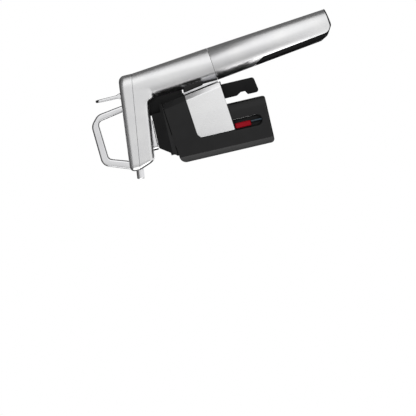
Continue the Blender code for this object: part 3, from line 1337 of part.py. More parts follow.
def ride(name, pieces, x=0, y=0, z=0, turn=0, parent=None):
    """An empty on a joint's axis, which carries the pieces that move together."""
    axis = bpy.data.objects.new(name, None)
    axis.location = (x, y, z)
    axis.rotation_euler = (0, turn, 0)
    bpy.context.scene.collection.objects.link(axis)
    bpy.context.view_layer.update()
    for piece in pieces:
        piece.parent = axis
        piece.matrix_parent_inverse = axis.matrix_world.inverted()
    if parent:
        axis.parent = parent
        axis.matrix_parent_inverse = parent.matrix_world.inverted()
    return axis


def main():
    for thing in list(bpy.data.objects):
        bpy.data.objects.remove(thing)
    silver = material("satin_aluminium", (0.62, 0.63, 0.64), 0.32, 1)
    bright = material("polished_chrome", (0.75, 0.75, 0.76), 0.12, 1)
    steel = material("ground_steel", (0.45, 0.46, 0.47), 0.28, 1)
    dark_steel = material("blackened_steel", (0.03, 0.045, 0.05), 0.35, 1)
    brass = material("machined_brass", (0.6, 0.42, 0.16), 0.3, 1)
    painted = material("capsule_steel", (0.5, 0.5, 0.52), 0.25, 1)
    black = material("black_nylon", (0.02, 0.02, 0.021), 0.5)
    rubber = material("black_rubber", (0.01, 0.01, 0.01), 0.7)
    red = material("red_silicone", (0.33, 0.004, 0.012), 0.45)

    head = ride("head_slide", [
        make_cap(silver), make_housing(silver), make_rail(black), make_rail_screw(steel),
        make_hub(bright), make_needle(steel), make_spout(bright), make_spout_seal(rubber),
        make_valve_block(brass), make_valve_cap(brass), make_trigger_pin(steel), make_regulator(brass),
        make_piston(brass), make_regulator_spring(steel), make_lance(steel), make_capsule_seal(rubber),
        make_valve_spring(steel),
    ])
    ride("trigger_axis", [make_trigger(bright)], TRIGGER_X, 0, TRIGGER_PIVOT_Z, 0, head)
    ride("valve_slide", [make_valve_plunger(steel)], BLOCK_BACK_X, 0, seam_z(BLOCK_BACK_X), 0, head)
    capsule = ride("capsule_slide", [make_capsule(painted)], HANDLE_X, 0, HANDLE_Z, -HANDLE_TILT, head)
    ride("cup_axis", [make_cup_shell(silver), make_cup_core(black), make_cushion(rubber)],
         HANDLE_X, 0, HANDLE_Z, -HANDLE_TILT, capsule)

    make_guide(black)
    make_mouth_pad(rubber)
    make_needle_bush(brass)
    make_spine(black)
    make_saddle(bright)
    make_bumpers(rubber)
    make_jaw_pins(steel)
    base_screw_forms("base_screw", 0, steel)
    make_catch_spring(steel)
    ride("catch_slide", [make_catch(steel)], RAIL_FRONT_X, 0, CATCH_Z)
    for word, side in (("left", 1), ("right", -1)):
        make_jaw_spring(f"jaw_spring_{word}", side, steel)
        ride(f"jaw_axis_{word}", [
            make_jaw(f"jaw_{word}", side, black),
            make_plate(f"jaw_plate_{word}", side, silver),
            make_neck_pad(f"neck_pad_{word}", side, red),
            make_slot_rod(f"slot_rod_{word}", side, dark_steel),
        ], 0, side * JAW_PIN_Y, JAW_PIN_Z)


main()
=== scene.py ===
"""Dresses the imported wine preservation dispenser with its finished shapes, finishes and stage."""
from math import atan2, cos, pi, radians, sin, sqrt, tan

import bmesh
import bpy
from bpy.props import FloatProperty, FloatVectorProperty, PointerProperty
from mathutils import Matrix, Vector


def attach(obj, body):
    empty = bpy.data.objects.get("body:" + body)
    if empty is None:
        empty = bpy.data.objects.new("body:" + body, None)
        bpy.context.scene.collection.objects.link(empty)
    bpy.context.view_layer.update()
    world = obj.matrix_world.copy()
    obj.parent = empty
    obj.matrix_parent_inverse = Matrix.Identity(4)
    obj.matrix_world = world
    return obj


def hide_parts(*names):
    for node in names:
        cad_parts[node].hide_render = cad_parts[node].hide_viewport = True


bl_info = {
    "name": "Wine Preservation Dispenser",
    "version": (1, 0, 0),
    "blender": (4, 5, 0),
    "location": "3D View > Sidebar > Dispenser",
    "description": "Builds a bottle-neck wine dispenser with its satin head, handle and clamp",
    "category": "Add Mesh",
}

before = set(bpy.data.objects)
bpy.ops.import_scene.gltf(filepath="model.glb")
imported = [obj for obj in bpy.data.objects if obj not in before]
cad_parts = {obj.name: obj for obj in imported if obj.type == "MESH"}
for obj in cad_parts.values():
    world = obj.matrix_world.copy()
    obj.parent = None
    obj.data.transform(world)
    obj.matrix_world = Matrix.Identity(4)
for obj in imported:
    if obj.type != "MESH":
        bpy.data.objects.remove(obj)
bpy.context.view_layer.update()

# Clearances and detail that all pieces share, in metres
GAP = 0.0003
OVERRUN = 0.004
FINE_EDGE = 0.00025
SOFT_EDGE = 0.0006

# The head, as the frame has it
HEAD_FRONT_X = -0.0191
HEAD_HALF_WIDTH = 0.0140
HEAD_FRONT_RADIUS = 0.0060
SEAM_END_X = 0.0675
SEAM_END_Z = 0.0384
SEAM_TILT = radians(7.9)
CAP_TOP_Z = 0.0510
CAP_TOP_TILT = radians(5.8)
CAP_EDGE_RADIUS = 0.0048
STEM_END_X = 0.0417
STEM_END_Z = 0.0287
STEM_TILT = radians(7.3)
STEM_EDGE_RADIUS = 0.0040
STEM_FILLET = 0.0048
FRONT_RAKE_SHARE = 0.36
FRONT_RAKE_START = -0.0085
POCKET_HALF_WIDTH = 0.0085
POCKET_FRONT_X = -0.0085
POCKET_BACK_X = 0.0570
POCKET_DEPTH = 0.0090

# The finger loop
LOOP_FRONT_X = -0.0179
LOOP_BACK_X = 0.0417
LOOP_BASE_Z = 0.0515
LOOP_TOP_Z = 0.0850
LOOP_HALF_WIDTH = 0.0056
LOOP_EDGE_RADIUS = 0.0018
LOOP_OUTER_SHARES = [(1.0, 0.0), (0.94, 0.77), (0.80, 1.0), (0.17, 0.95), (0.0, 0.13), (0.0, 0.0)]
LOOP_OUTER_RADIUS = 0.0085
LOOP_SHOULDER_RADIUS = 0.0095
LOOP_INNER_SHARES = [(0.16, 0.0), (0.15, 0.21), (0.25, 0.74), (0.83, 0.80), (0.905, 0.0)]
LOOP_INNER_RADIUS = 0.0042

# The handle and the capsule cup
HANDLE_X = 0.0595
HANDLE_Z = -0.0345
HANDLE_TILT = radians(6.3)
HANDLE_RADIUS = 0.0152
HANDLE_TOP_X = 0.05435
HANDLE_TOP_HALF_LENGTH = 0.01315
HANDLE_TOP_POWER = 2.8
REGULATOR_RADIUS = 0.0088
REGULATOR_ROOM = 0.0489
CUP_LENGTH = 0.1126
CUP_TIP_RADIUS = 0.0132
CUP_TAPER_LENGTH = 0.1060
CUP_SHELL_WALL = 0.0010
CUP_NECK_RADIUS = 0.0123
CUP_NECK_LENGTH = 0.0140
CUP_SOCKET_RADIUS = 0.0127
CUP_END_RIM = 0.0018
CUP_END_ROUND = 0.0015
CUP_TIP_SHARE = 0.99
CUP_TIP_SHARES = [(-0.19, 0.998), (-0.80, 0.945), (-1.03, 0.88)]
CUP_UNDER_CORNER = 0.0100
CUP_CUT_START = 0.0260
CUP_CUT_FULL = 0.0450
CUP_CUT_HEIGHT = 0.0076
CUP_CUT_RISE = 0.0015
CUP_CUT_CORNER = 0.0065
CAPSULE_BORE_RADIUS = 0.0112
CAPSULE_FLOOR_Z = -0.0866

# The trigger
TRIGGER_X = 0.0500
TRIGGER_PIVOT_Z = 0.0470
TRIGGER_TIP_Z = 0.0762
TRIGGER_LOW_Z = 0.0360
TRIGGER_HALF_WIDTH = 0.0065
TRIGGER_ROOT_THICKNESS = 0.0030
TRIGGER_TIP_THICKNESS = 0.0024
TRIGGER_TIP_CORNER = 0.0040
TRIGGER_ROUND = 0.0009
TRIGGER_RIB_COUNT = 9
TRIGGER_RIB_RADIUS = 0.0005
TRIGGER_COLLAR_THICKNESS = 0.0060
TRIGGER_COLLAR_Z = 0.0570
TRIGGER_HUB_RADIUS = 0.0034
TRIGGER_ARM_THICKNESS = 0.0020
TRIGGER_SLOT_FRONT = 0.0058
TRIGGER_SLOT_BACK = 0.0046
PIN_RADIUS = 0.0013
PIN_HALF_LENGTH = 0.0110
PLUNGER_RADIUS = 0.0012

# The chin, needle and spout
NEEDLE_RADIUS = 0.0010
HUB_FRONT_X = -0.0042
HUB_BACK_X = 0.0225
HUB_HALF_WIDTH = 0.0070
HUB_BASE_Z = 0.0301
HUB_CORNER = 0.0035
HUB_STEM_RADIUS = 0.0050
SPOUT_ROOT_X = -0.0193
SPOUT_ROOT_Z = 0.0512
SPOUT_TILT = radians(7.0)
SPOUT_RADIUS = 0.0035
SPOUT_BORE_RADIUS = 0.0024
SPOUT_REACH = 0.0078
SPOUT_INSIDE = 0.0085
SPOUT_LIP = 0.0005
SPOUT_GROOVE = 0.0007
SPOUT_GROOVE_WIDTH = 0.0016

# The guide block, the rail's channel and the saddle
MOUTH_PAD_TOP_Z = 0.0018
PLUG_RADIUS = 0.0128
GUIDE_TOP_Z = 0.0293
GUIDE_FRONT_X = -0.0142
GUIDE_TOP_FRONT_X = -0.0036
GUIDE_BACK_X = 0.0352
GUIDE_TOP_BACK_X = 0.0275
GUIDE_HALF_WIDTH = 0.0120
GUIDE_FLANGE_HALF_WIDTH = 0.0185
GUIDE_CORNER = 0.0015
GUIDE_SHOULDER_Z = 0.0205
NEEDLE_BUSH_RADIUS = 0.0030
NEEDLE_BUSH_BORE = 0.0014
CASE_SEAM_X = -0.0142
CASE_SEAM_Z = 0.0137
CASE_SEAM_TILT = radians(-4.9)
RAIL_FRONT_X = 0.0264
RAIL_HALF_WIDTH = 0.0050
RAIL_CLEARANCE = 0.0004
SADDLE_TOP_X = 0.0416
SADDLE_TOP_Z = -0.0032
SADDLE_END_X = 0.0440
SADDLE_THICKNESS = 0.0013
SADDLE_HALF_WIDTH = 0.0140
SADDLE_END_Z = -0.0357
SADDLE_FLANGE_GAP = 0.0005
SADDLE_FLANGE_THICKNESS = 0.0009
SADDLE_HEM_RADIUS = 0.0005
BUMPER_TOP_Z = -0.0036
BUMPER_LENGTH = 0.0186
BUMPER_INNER_Y = 0.0107
BUMPER_OUTER_Y = 0.0149
BUMPER_TOP_LOW_X = 0.0396
BUMPER_TOP_HIGH_X = 0.0453
BUMPER_END_LOW_X = 0.0428
BUMPER_END_HIGH_X = 0.0471
BUMPER_ROUND = 0.0012
RAIL_BACK_X = 0.0397
RAIL_TIP_Z = -0.0704
RAIL_NOTCH_Z = -0.0560
RAIL_NOTCH_HALF_LENGTH = 0.0042
RAIL_NOTCH_DEPTH = 0.0025
RAIL_HOOK = 0.0008
RAIL_HOOK_LENGTH = 0.0105
RAIL_TIP_SLOPE = 0.0024
RAIL_CORNER = 0.0025
RAIL_ROOT_Z = -0.0022
RAIL_SEAT = 0.0005
GASKET_HALF_WIDTH = 0.0120
GASKET_INSET = 0.0008

# The jaws
NECK_BORE_RADIUS = 0.0145
JAW_FRONT_X = -0.0215
JAW_BACK_X = 0.0213
JAW_HALF_WIDTH = 0.0206
JAW_BOTTOM_Z = -0.0737
JAW_SHOULDER_Z = -0.0389
JAW_CHEEK_TOP_X = 0.0372
JAW_CHEEK_LOW_X = 0.0424
JAW_CHEEK_WIDTH = 0.0053
JAW_CHEEK_TILT = radians(34)
JAW_TOP_GAP = 0.0005
JAW_CHEEK_INNER_Y = 0.0123
JAW_FRONT_BEVEL = 0.0055
JAW_BACK_RADIUS = 0.0085
JAW_TOP_CORNER = 0.0060
JAW_END_CORNER = 0.0020
JAW_FRONT_CORNER = 0.0034
JAW_SPLIT = 0.00015
JAW_RELIEF = 0.0018
JAW_RELIEF_Z = 0.0050
JAW_PIN_Y = 0.0170
JAW_PIN_Z = 0.0080
JAW_PIN_RADIUS = 0.0009
JAW_PIN_HALF_LENGTH = 0.0145
JAW_LUG_HALF_LENGTH = 0.0050
JAW_LUG_HALF_THICKNESS = 0.0016
JAW_POCKET_HALF_LENGTH = 0.0112
JAW_POCKET_WALL = 0.0010
JAW_POCKET_DEPTH = 0.0045
CATCH_Z = 0.0020
CATCH_BOSS_HALF_WIDTH = 0.0036
CATCH_BOSS_HALF_HEIGHT = 0.0040

# The plates, and the slot with the pad and rod that show in it
PLATE_THICKNESS = 0.0008
PLATE_LOW_X = -0.0025
PLATE_TOP_Z = -0.0071
PLATE_BOTTOM_Z = -0.0407
PLATE_TILT = radians(5.2)
PLATE_CORNER = 0.0050
PLATE_SMALL_CORNER = 0.0009
PLATE_BEND = 0.0016
SLOT_MIDDLE_X = 0.0015
SLOT_HALF_HEIGHT = 0.0048
SLOT_TOP_Z = -0.0414
SLOT_BOTTOM_Z = -0.0664
SLOT_BEVEL = 0.0012
PAD_LOW_X = -0.0022
PAD_HIGH_X = 0.0027
PAD_BOTTOM_Z = -0.0565
PAD_FLANGE_MARGIN = 0.0030
PAD_FLANGE_INNER_Y = 0.0147
PAD_FLANGE_OUTER_Y = 0.0163
PAD_OUTER_Y = 0.0190
PAD_EDGE = 0.0012
ROD_RADIUS = 0.0013
ROD_BOTTOM_Z = -0.0695
ROD_Y = 0.0179

# Points on a quarter turn, and round a circle
QUARTER = 10
ROUND = 96
SIDE_WORDS = {1: "left", -1: "right"}


def seam_z(x):
    """Height of the joint between cap and housing."""
    return SEAM_END_Z + (SEAM_END_X - x) * tan(SEAM_TILT)


def cap_top_z(x):
    return CAP_TOP_Z + (SEAM_END_X - x) * tan(CAP_TOP_TILT)


def stem_z(x):
    """Height of the stem's underside, with the fillet where it turns down into the handle."""
    line = STEM_END_Z + (STEM_END_X - x) * tan(STEM_TILT)
    into = min(max(x - (STEM_END_X - STEM_FILLET), 0), STEM_FILLET)
    return line - (STEM_FILLET - sqrt(STEM_FILLET ** 2 - into ** 2))


def case_z(x):
    """Height of the joint between guide block and jaws."""
    return CASE_SEAM_Z - (x - CASE_SEAM_X) * tan(CASE_SEAM_TILT)


def handle_under_x(z):
    """How far the underside of the housing's handle lies from the bottle's axis."""
    low_x, high_x = HANDLE_X - HANDLE_RADIUS, HANDLE_TOP_X - HANDLE_TOP_HALF_LENGTH
    low_z = HANDLE_Z - HANDLE_RADIUS * tan(HANDLE_TILT)
    return low_x + (high_x - low_x) * (z - low_z) / (seam_z(high_x) - low_z)


def cheek_x(z):
    """The upper edge of a jaw's cheek, which the plate and the saddle's flange run along."""
    share = (z - SADDLE_END_Z) / (SADDLE_TOP_Z - SADDLE_END_Z)
    return JAW_CHEEK_LOW_X + (JAW_CHEEK_TOP_X - JAW_CHEEK_LOW_X) * share


def saddle_x(z):
    """The upper face of the saddle."""
    return SADDLE_END_X + (SADDLE_TOP_X - SADDLE_END_X) * (z - SADDLE_END_Z) / (SADDLE_TOP_Z - SADDLE_END_Z)


def handle_radius(down):
    """Radius of the cup at a distance below its joint with the head."""
    return HANDLE_RADIUS - (HANDLE_RADIUS - CUP_TIP_RADIUS) * down / CUP_TAPER_LENGTH


HUB_TOP_Z = seam_z(-HUB_STEM_RADIUS) - POCKET_DEPTH + GAP


def stand(name, data):
    """An object in the scene for a mesh, a lamp or a camera."""
    thing = bpy.data.objects.new(name, data)
    bpy.context.scene.collection.objects.link(thing)
    return thing


def add_object(name, bm, angle=32):
    """Turns a bmesh into a smooth-shaded object whose faces point outwards."""
    bmesh.ops.remove_doubles(bm, verts=bm.verts, dist=GAP / 1000)
    bmesh.ops.recalc_face_normals(bm, faces=bm.faces)
    mesh = bpy.data.meshes.new(name)
    bm.to_mesh(mesh)
    bm.free()
    mesh.shade_smooth()
    mesh.set_sharp_from_angle(angle=radians(angle))
    return stand(name, mesh)


def settle(thing, angle=32):
    """Applies what is live on a piece, and leaves its mesh in place and its object at the origin."""
    bpy.context.view_layer.update()
    graph = bpy.context.evaluated_depsgraph_get()
    mesh = bpy.data.meshes.new_from_object(thing.evaluated_get(graph), depsgraph=graph)
    mesh.transform(thing.matrix_world)
    thing.modifiers.clear()
    thing.matrix_world = Matrix.Identity(4)
    thing.data = mesh
    mesh.shade_smooth()
    mesh.set_sharp_from_angle(angle=radians(angle))
    return thing


def combine(thing, other, operation, crease=32):
    """Joins, cuts or keeps by another piece, which is then removed."""
    step = thing.modifiers.new(operation, "BOOLEAN")
    step.operation = operation
    step.solver = "EXACT"
    step.object = other
    settle(thing, crease)
    bpy.data.objects.remove(other)
    return thing


def cut(thing, *others, crease=32):
    for other in others:
        combine(thing, other, "DIFFERENCE", crease)
    return thing


def ease_edges(thing, width=FINE_EDGE, segments=2, angle=35, crease=40):
    """Rounds a piece's crisp edges so that they catch the light."""
    step = thing.modifiers.new("ease", "BEVEL")
    step.width = width
    step.segments = segments
    step.limit_method = "ANGLE"
    step.angle_limit = radians(angle)
    step.harden_normals = False
    step.use_clamp_overlap = True
    return settle(thing, crease)


def rounded(points, radii):
    """A closed outline whose corners are arcs of the given radii."""
    outline = []
    for i, corner in enumerate(points):
        corner = Vector(corner)
        radius = radii[i]
        if not radius:
            outline.append(tuple(corner))
            continue
        back = (Vector(points[i - 1]) - corner).normalized()
        ahead = (Vector(points[(i + 1) % len(points)]) - corner).normalized()
        half = back.angle(ahead) / 2
        reach = radius / tan(half)
        middle = corner + (back + ahead).normalized() * radius / sin(half)
        start = corner + back * reach - middle
        end = corner + ahead * reach - middle
        turn = start.angle_signed(end)
        for k in range(QUARTER + 1):
            angle = atan2(start.y, start.x) - turn * k / QUARTER
            outline.append((middle.x + radius * cos(angle), middle.y + radius * sin(angle)))
    return outline


def rounded_corners(corners):
    """A closed outline of corners that each carry their own radius, as (u, v, radius)."""
    return rounded([(u, v) for u, v, radius in corners], [radius for u, v, radius in corners])


def prism(name, outline, low, high, across="y"):
    """An outline pushed from low to high across its plane."""
    lay = {
        "y": lambda u, v, w: (u, w, v),
        "z": lambda u, v, w: (u, v, w),
        "x": lambda u, v, w: (w, u, v),
    }[across]
    bm = bmesh.new()
    face = bm.faces.new([bm.verts.new(lay(u, v, low)) for u, v in outline])
    pushed = bmesh.ops.extrude_face_region(bm, geom=[face])
    moved = [v for v in pushed["geom"] if isinstance(v, bmesh.types.BMVert)]
    bmesh.ops.translate(bm, vec=lay(0, 0, high - low), verts=moved)
    return add_object(name, bm)


def box(name, low, high):
    outline = [(low[0], low[2]), (high[0], low[2]), (high[0], high[2]), (low[0], high[2])]
    return prism(name, outline, low[1], high[1])


def close_end(bm, row, apex):
    """Fills a ring, from its apex in strips across when the ring isn't flat."""
    if apex is None:
        bm.faces.new(row)
        return
    count = len(row)
    for step in range(count // 2):
        around = (apex + step, apex + step + 1, apex - step - 1, apex - step)
        corners = list(dict.fromkeys(row[i % count] for i in around))
        if len(corners) > 2:
            bm.faces.new(corners)


def loft(name, rings, apex=None):
    """Rings of equal count, joined in order and closed at both ends."""
    bm = bmesh.new()
    rows = [[bm.verts.new(point) for point in ring] for ring in rings]
    count = len(rows[0])
    for row, above in zip(rows, rows[1:]):
        for i in range(count):
            j = (i + 1) % count
            bm.faces.new((row[i], row[j], above[j], above[i]))
    close_end(bm, rows[0], apex)
    close_end(bm, rows[-1], apex)
    return add_object(name, bm)


def turned(name, profile, steps=ROUND):
    """A profile of (radius, height) turned about Z. A radius of zero closes it on the axis."""
    bm = bmesh.new()
    rows = []
    for radius, height in profile:
        if radius == 0:
            rows.append([bm.verts.new((0, 0, height))])
            continue
        angles = [2 * pi * k / steps for k in range(steps)]
        rows.append([bm.verts.new((radius * cos(a), radius * sin(a), height)) for a in angles])
    closed = profile[0][0] != 0
    pairs = list(zip(rows, rows[1:])) + ([(rows[-1], rows[0])] if closed else [])
    for row, above in pairs:
        for i in range(steps):
            j = (i + 1) % steps
            corners = [row[i % len(row)], row[j % len(row)], above[j % len(above)], above[i % len(above)]]
            bm.faces.new(list(dict.fromkeys(corners)))
    return add_object(name, bm)


def rod(name, radius, low, high, steps=ROUND):
    return turned(name, [(0, low), (radius, low), (radius, high), (0, high)], steps)


def placed(thing, x=0, y=0, z=0, turn=(0, 0, 0)):
    thing.location = (x, y, z)
    thing.rotation_euler = turn
    return settle(thing)


def on_handle(thing):
    """Stands a piece on the handle's axis, with its Z pointing up towards the head."""
    return placed(thing, HANDLE_X, 0, HANDLE_Z, (0, -HANDLE_TILT, 0))


def inset(plan, depth):
    """Moves the points of a clockwise outline inwards, square to its edges."""
    moved = []
    for i, point in enumerate(plan):
        here = Vector(point)
        first = (here - Vector(plan[i - 1])).normalized()
        second = (Vector(plan[(i + 1) % len(plan)]) - here).normalized()
        across = Vector((first.y + second.y, -first.x - second.x)).normalized()
        reach = depth / across.dot(Vector((first.y, -first.x)))
        moved.append(tuple(here + across * reach))
    return moved


def quarter_levels(radius, height, sign):
    """The insets and heights of an edge rounded by radius, from the edge's face to its side."""
    levels = []
    for k in range(QUARTER + 1):
        a = pi / 2 * k / QUARTER
        levels.append((radius * (1 - sin(a)), height, sign * radius * (1 - cos(a))))
    return levels


def slab(name, plan, low, high, round_low, round_high, lean=None, apex=None):
    """A clockwise plan between two height functions, with its lower and upper edges rounded."""
    levels = quarter_levels(round_low, low, 1) + quarter_levels(round_high, high, -1)[::-1]
    rings = []
    for depth, height, shift in levels:
        ring = [(x, y, height(x) + shift) for x, y in (inset(plan, depth) if depth else plan)]
        rings.append([(lean(x, z), y, z) for x, y, z in ring] if lean else ring)
    return loft(name, rings, apex)


def oval(middle, half_length, half_width, power, angle):
    """A point of a rounded rectangle between an ellipse (power 2) and a box."""
    c, s = cos(angle), sin(angle)
    x = half_length * abs(c) ** (2 / power) * (1 if c >= 0 else -1)
    y = half_width * abs(s) ** (2 / power) * (1 if s >= 0 else -1)
    return middle + x, y


def head_plan():
    """The head seen from above, clockwise, from the widest point of the handle's end."""
    half = ROUND // 2
    back = []
    for k in range(half + 1):
        angle = pi / 2 - pi * k / half
        back.append(oval(HANDLE_TOP_X, HANDLE_TOP_HALF_LENGTH, HEAD_HALF_WIDTH, HANDLE_TOP_POWER, angle))
    side = [(STEM_END_X - STEM_FILLET * k / QUARTER, HEAD_HALF_WIDTH) for k in range(QUARTER + 1)]
    for k in range(QUARTER + 1):
        a = pi / 2 * k / QUARTER
        x = HEAD_FRONT_X + HEAD_FRONT_RADIUS * (1 - sin(a))
        side.append((x, HEAD_HALF_WIDTH - HEAD_FRONT_RADIUS * (1 - cos(a))))
    return back + [(x, -y) for x, y in side] + list(reversed(side))


def shares_to_points(shares, low_x, high_x, low_z, high_z):
    return [(low_x + (high_x - low_x) * u, low_z + (high_z - low_z) * v) for u, v in shares]


def linear(code):
    """An sRGB hex code as the linear colour that a shader takes."""
    channels = [int(code[i:i + 2], 16) / 255 for i in (0, 2, 4)]
    return [c / 12.92 if c <= 0.04045 else ((c + 0.055) / 1.055) ** 2.4 for c in channels] + [1]


def add_node(tree, kind, inputs=None, **settings):
    """Adds a node. An input that is given a socket is linked to it, and any other is set."""
    node = tree.nodes.new(kind)
    for name, value in settings.items():
        setattr(node, name, value)
    for key, value in (inputs or {}).items():
        if isinstance(value, bpy.types.NodeSocket):
            tree.links.new(value, node.inputs[key])
        else:
            node.inputs[key].default_value = value
    return node


def empty_tree(owner):
    """Gives a material or the world a node tree with nothing in it."""
    owner.use_nodes = True
    owner.node_tree.nodes.clear()
    return owner.node_tree


def start_material(name):
    """An empty material with its shader and output, and the object's own coordinates."""
    material = bpy.data.materials.new(name)
    tree = empty_tree(material)
    shader = add_node(tree, "ShaderNodeBsdfPrincipled")
    add_node(tree, "ShaderNodeOutputMaterial", {"Surface": shader.outputs["BSDF"]})
    place = add_node(tree, "ShaderNodeTexCoord").outputs["Object"]
    return material, tree, shader, place


def grain(tree, place, size, stretch=(1, 1, 1), detail=3):
    """Noise whose grains measure size in metres, drawn out along the axes where stretch is below 1."""
    spread = add_node(tree, "ShaderNodeMapping", {"Vector": place, "Scale": [s / size for s in stretch]})
    return add_node(tree, "ShaderNodeTexNoise",
                    {"Vector": spread.outputs["Vector"], "Scale": 1.0, "Detail": detail}).outputs["Fac"]


def mottle(tree, shader, fac, first, second, low=0.35, high=0.65):
    """Lets the colour drift between two near tones."""
    ramp = add_node(tree, "ShaderNodeValToRGB", {"Fac": fac})
    ramp.color_ramp.elements[0].position = low
    ramp.color_ramp.elements[1].position = high
    ramp.color_ramp.elements[0].color = first if not isinstance(first, str) else linear(first)
    ramp.color_ramp.elements[1].color = second if not isinstance(second, str) else linear(second)
    tree.links.new(ramp.outputs["Color"], shader.inputs["Base Color"])


def vary_roughness(tree, shader, fac, low, high):
    spread = add_node(tree, "ShaderNodeMapRange", {"Value": fac, "From Min": 0.3, "From Max": 0.7,
                                                   "To Min": low, "To Max": high})
    tree.links.new(spread.outputs["Result"], shader.inputs["Roughness"])


def relief(tree, shader, fac, height, strength=1.0):
    """Raises the surface by a height in metres where the pattern is light."""
    bump = add_node(tree, "ShaderNodeBump", {"Height": fac, "Distance": height, "Strength": strength})
    tree.links.new(bump.outputs["Normal"], shader.inputs["Normal"])


def satin_metal(name, light, dark, grit=0.00035, stretch=(1, 1, 1), rough=(0.24, 0.32), height=0.0000012):
    """Blasted or brushed plating: its fine grain softens what it reflects and drifts a little in tone.

    The grain is drawn coarser than the real tenth of a millimetre, so that it shows in the render.
    """
    material, tree, shader, place = start_material(name)
    shader.inputs["Metallic"].default_value = 1.0
    fine = grain(tree, place, grit, stretch)
    broad = grain(tree, place, 0.018, stretch, 2)
    mottle(tree, shader, broad, dark, light)
    vary_roughness(tree, shader, fine, *rough)
    relief(tree, shader, fine, height)
    return material


def shade_edges(material, half, width):
    """Paints a dark line, width wide, along the rounded edges of a piece that spans half to either side:
    painted shade standing in for the dark that these edges reflect.
    """
    tree = material.node_tree
    shader = next(node for node in tree.nodes if node.type == "BSDF_PRINCIPLED")
    tone = shader.inputs["Base Color"].links[0].from_socket
    place = add_node(tree, "ShaderNodeTexCoord").outputs["Object"]
    across = add_node(tree, "ShaderNodeSeparateXYZ", {"Vector": place}).outputs["Y"]
    away = add_node(tree, "ShaderNodeMath", {0: across}, operation="ABSOLUTE").outputs[0]
    part = add_node(tree, "ShaderNodeMath", {0: away, 1: 1 / half}, operation="MULTIPLY").outputs[0]
    ramp = add_node(tree, "ShaderNodeValToRGB", {"Fac": part})
    stops = ramp.color_ramp.elements
    share = width / half
    stops[0].position, stops[0].color = 1 - 1.25 * share, (0, 0, 0, 1)
    stops[1].position, stops[1].color = 1 - 1.05 * share, (1, 1, 1, 1)
    for position, value in ((1 - 0.45 * share, 1), (1 - 0.1 * share, 0)):
        stop = stops.new(position)
        stop.color = (value, value, value, 1)
    # The dark colour mixed in here is painted shade along the rounded edges, not a mark on the plating
    mixed = add_node(tree, "ShaderNodeMix", {"Factor": ramp.outputs["Color"], 6: tone, 7: linear("2C2D2F")},
                     data_type="RGBA")
    tree.links.new(mixed.outputs[2], shader.inputs["Base Color"])
    return material


def moulded_plastic(name, light, dark, grit=0.0004, rough=(0.34, 0.42), height=0.000012, shine=0.25):
    """Spark-textured moulding: a fine pebble in the gloss, and a slow drift in tone from the fill."""
    material, tree, shader, place = start_material(name)
    shader.inputs["IOR"].default_value = PLASTIC_IOR
    shader.inputs["Specular IOR Level"].default_value = shine
    fine = grain(tree, place, grit)
    broad = grain(tree, place, 0.015, detail=2)
    mottle(tree, shader, broad, dark, light)
    vary_roughness(tree, shader, fine, *rough)
    relief(tree, shader, fine, height)
    return material


PLASTIC_IOR = 1.53
FINISHES = {}


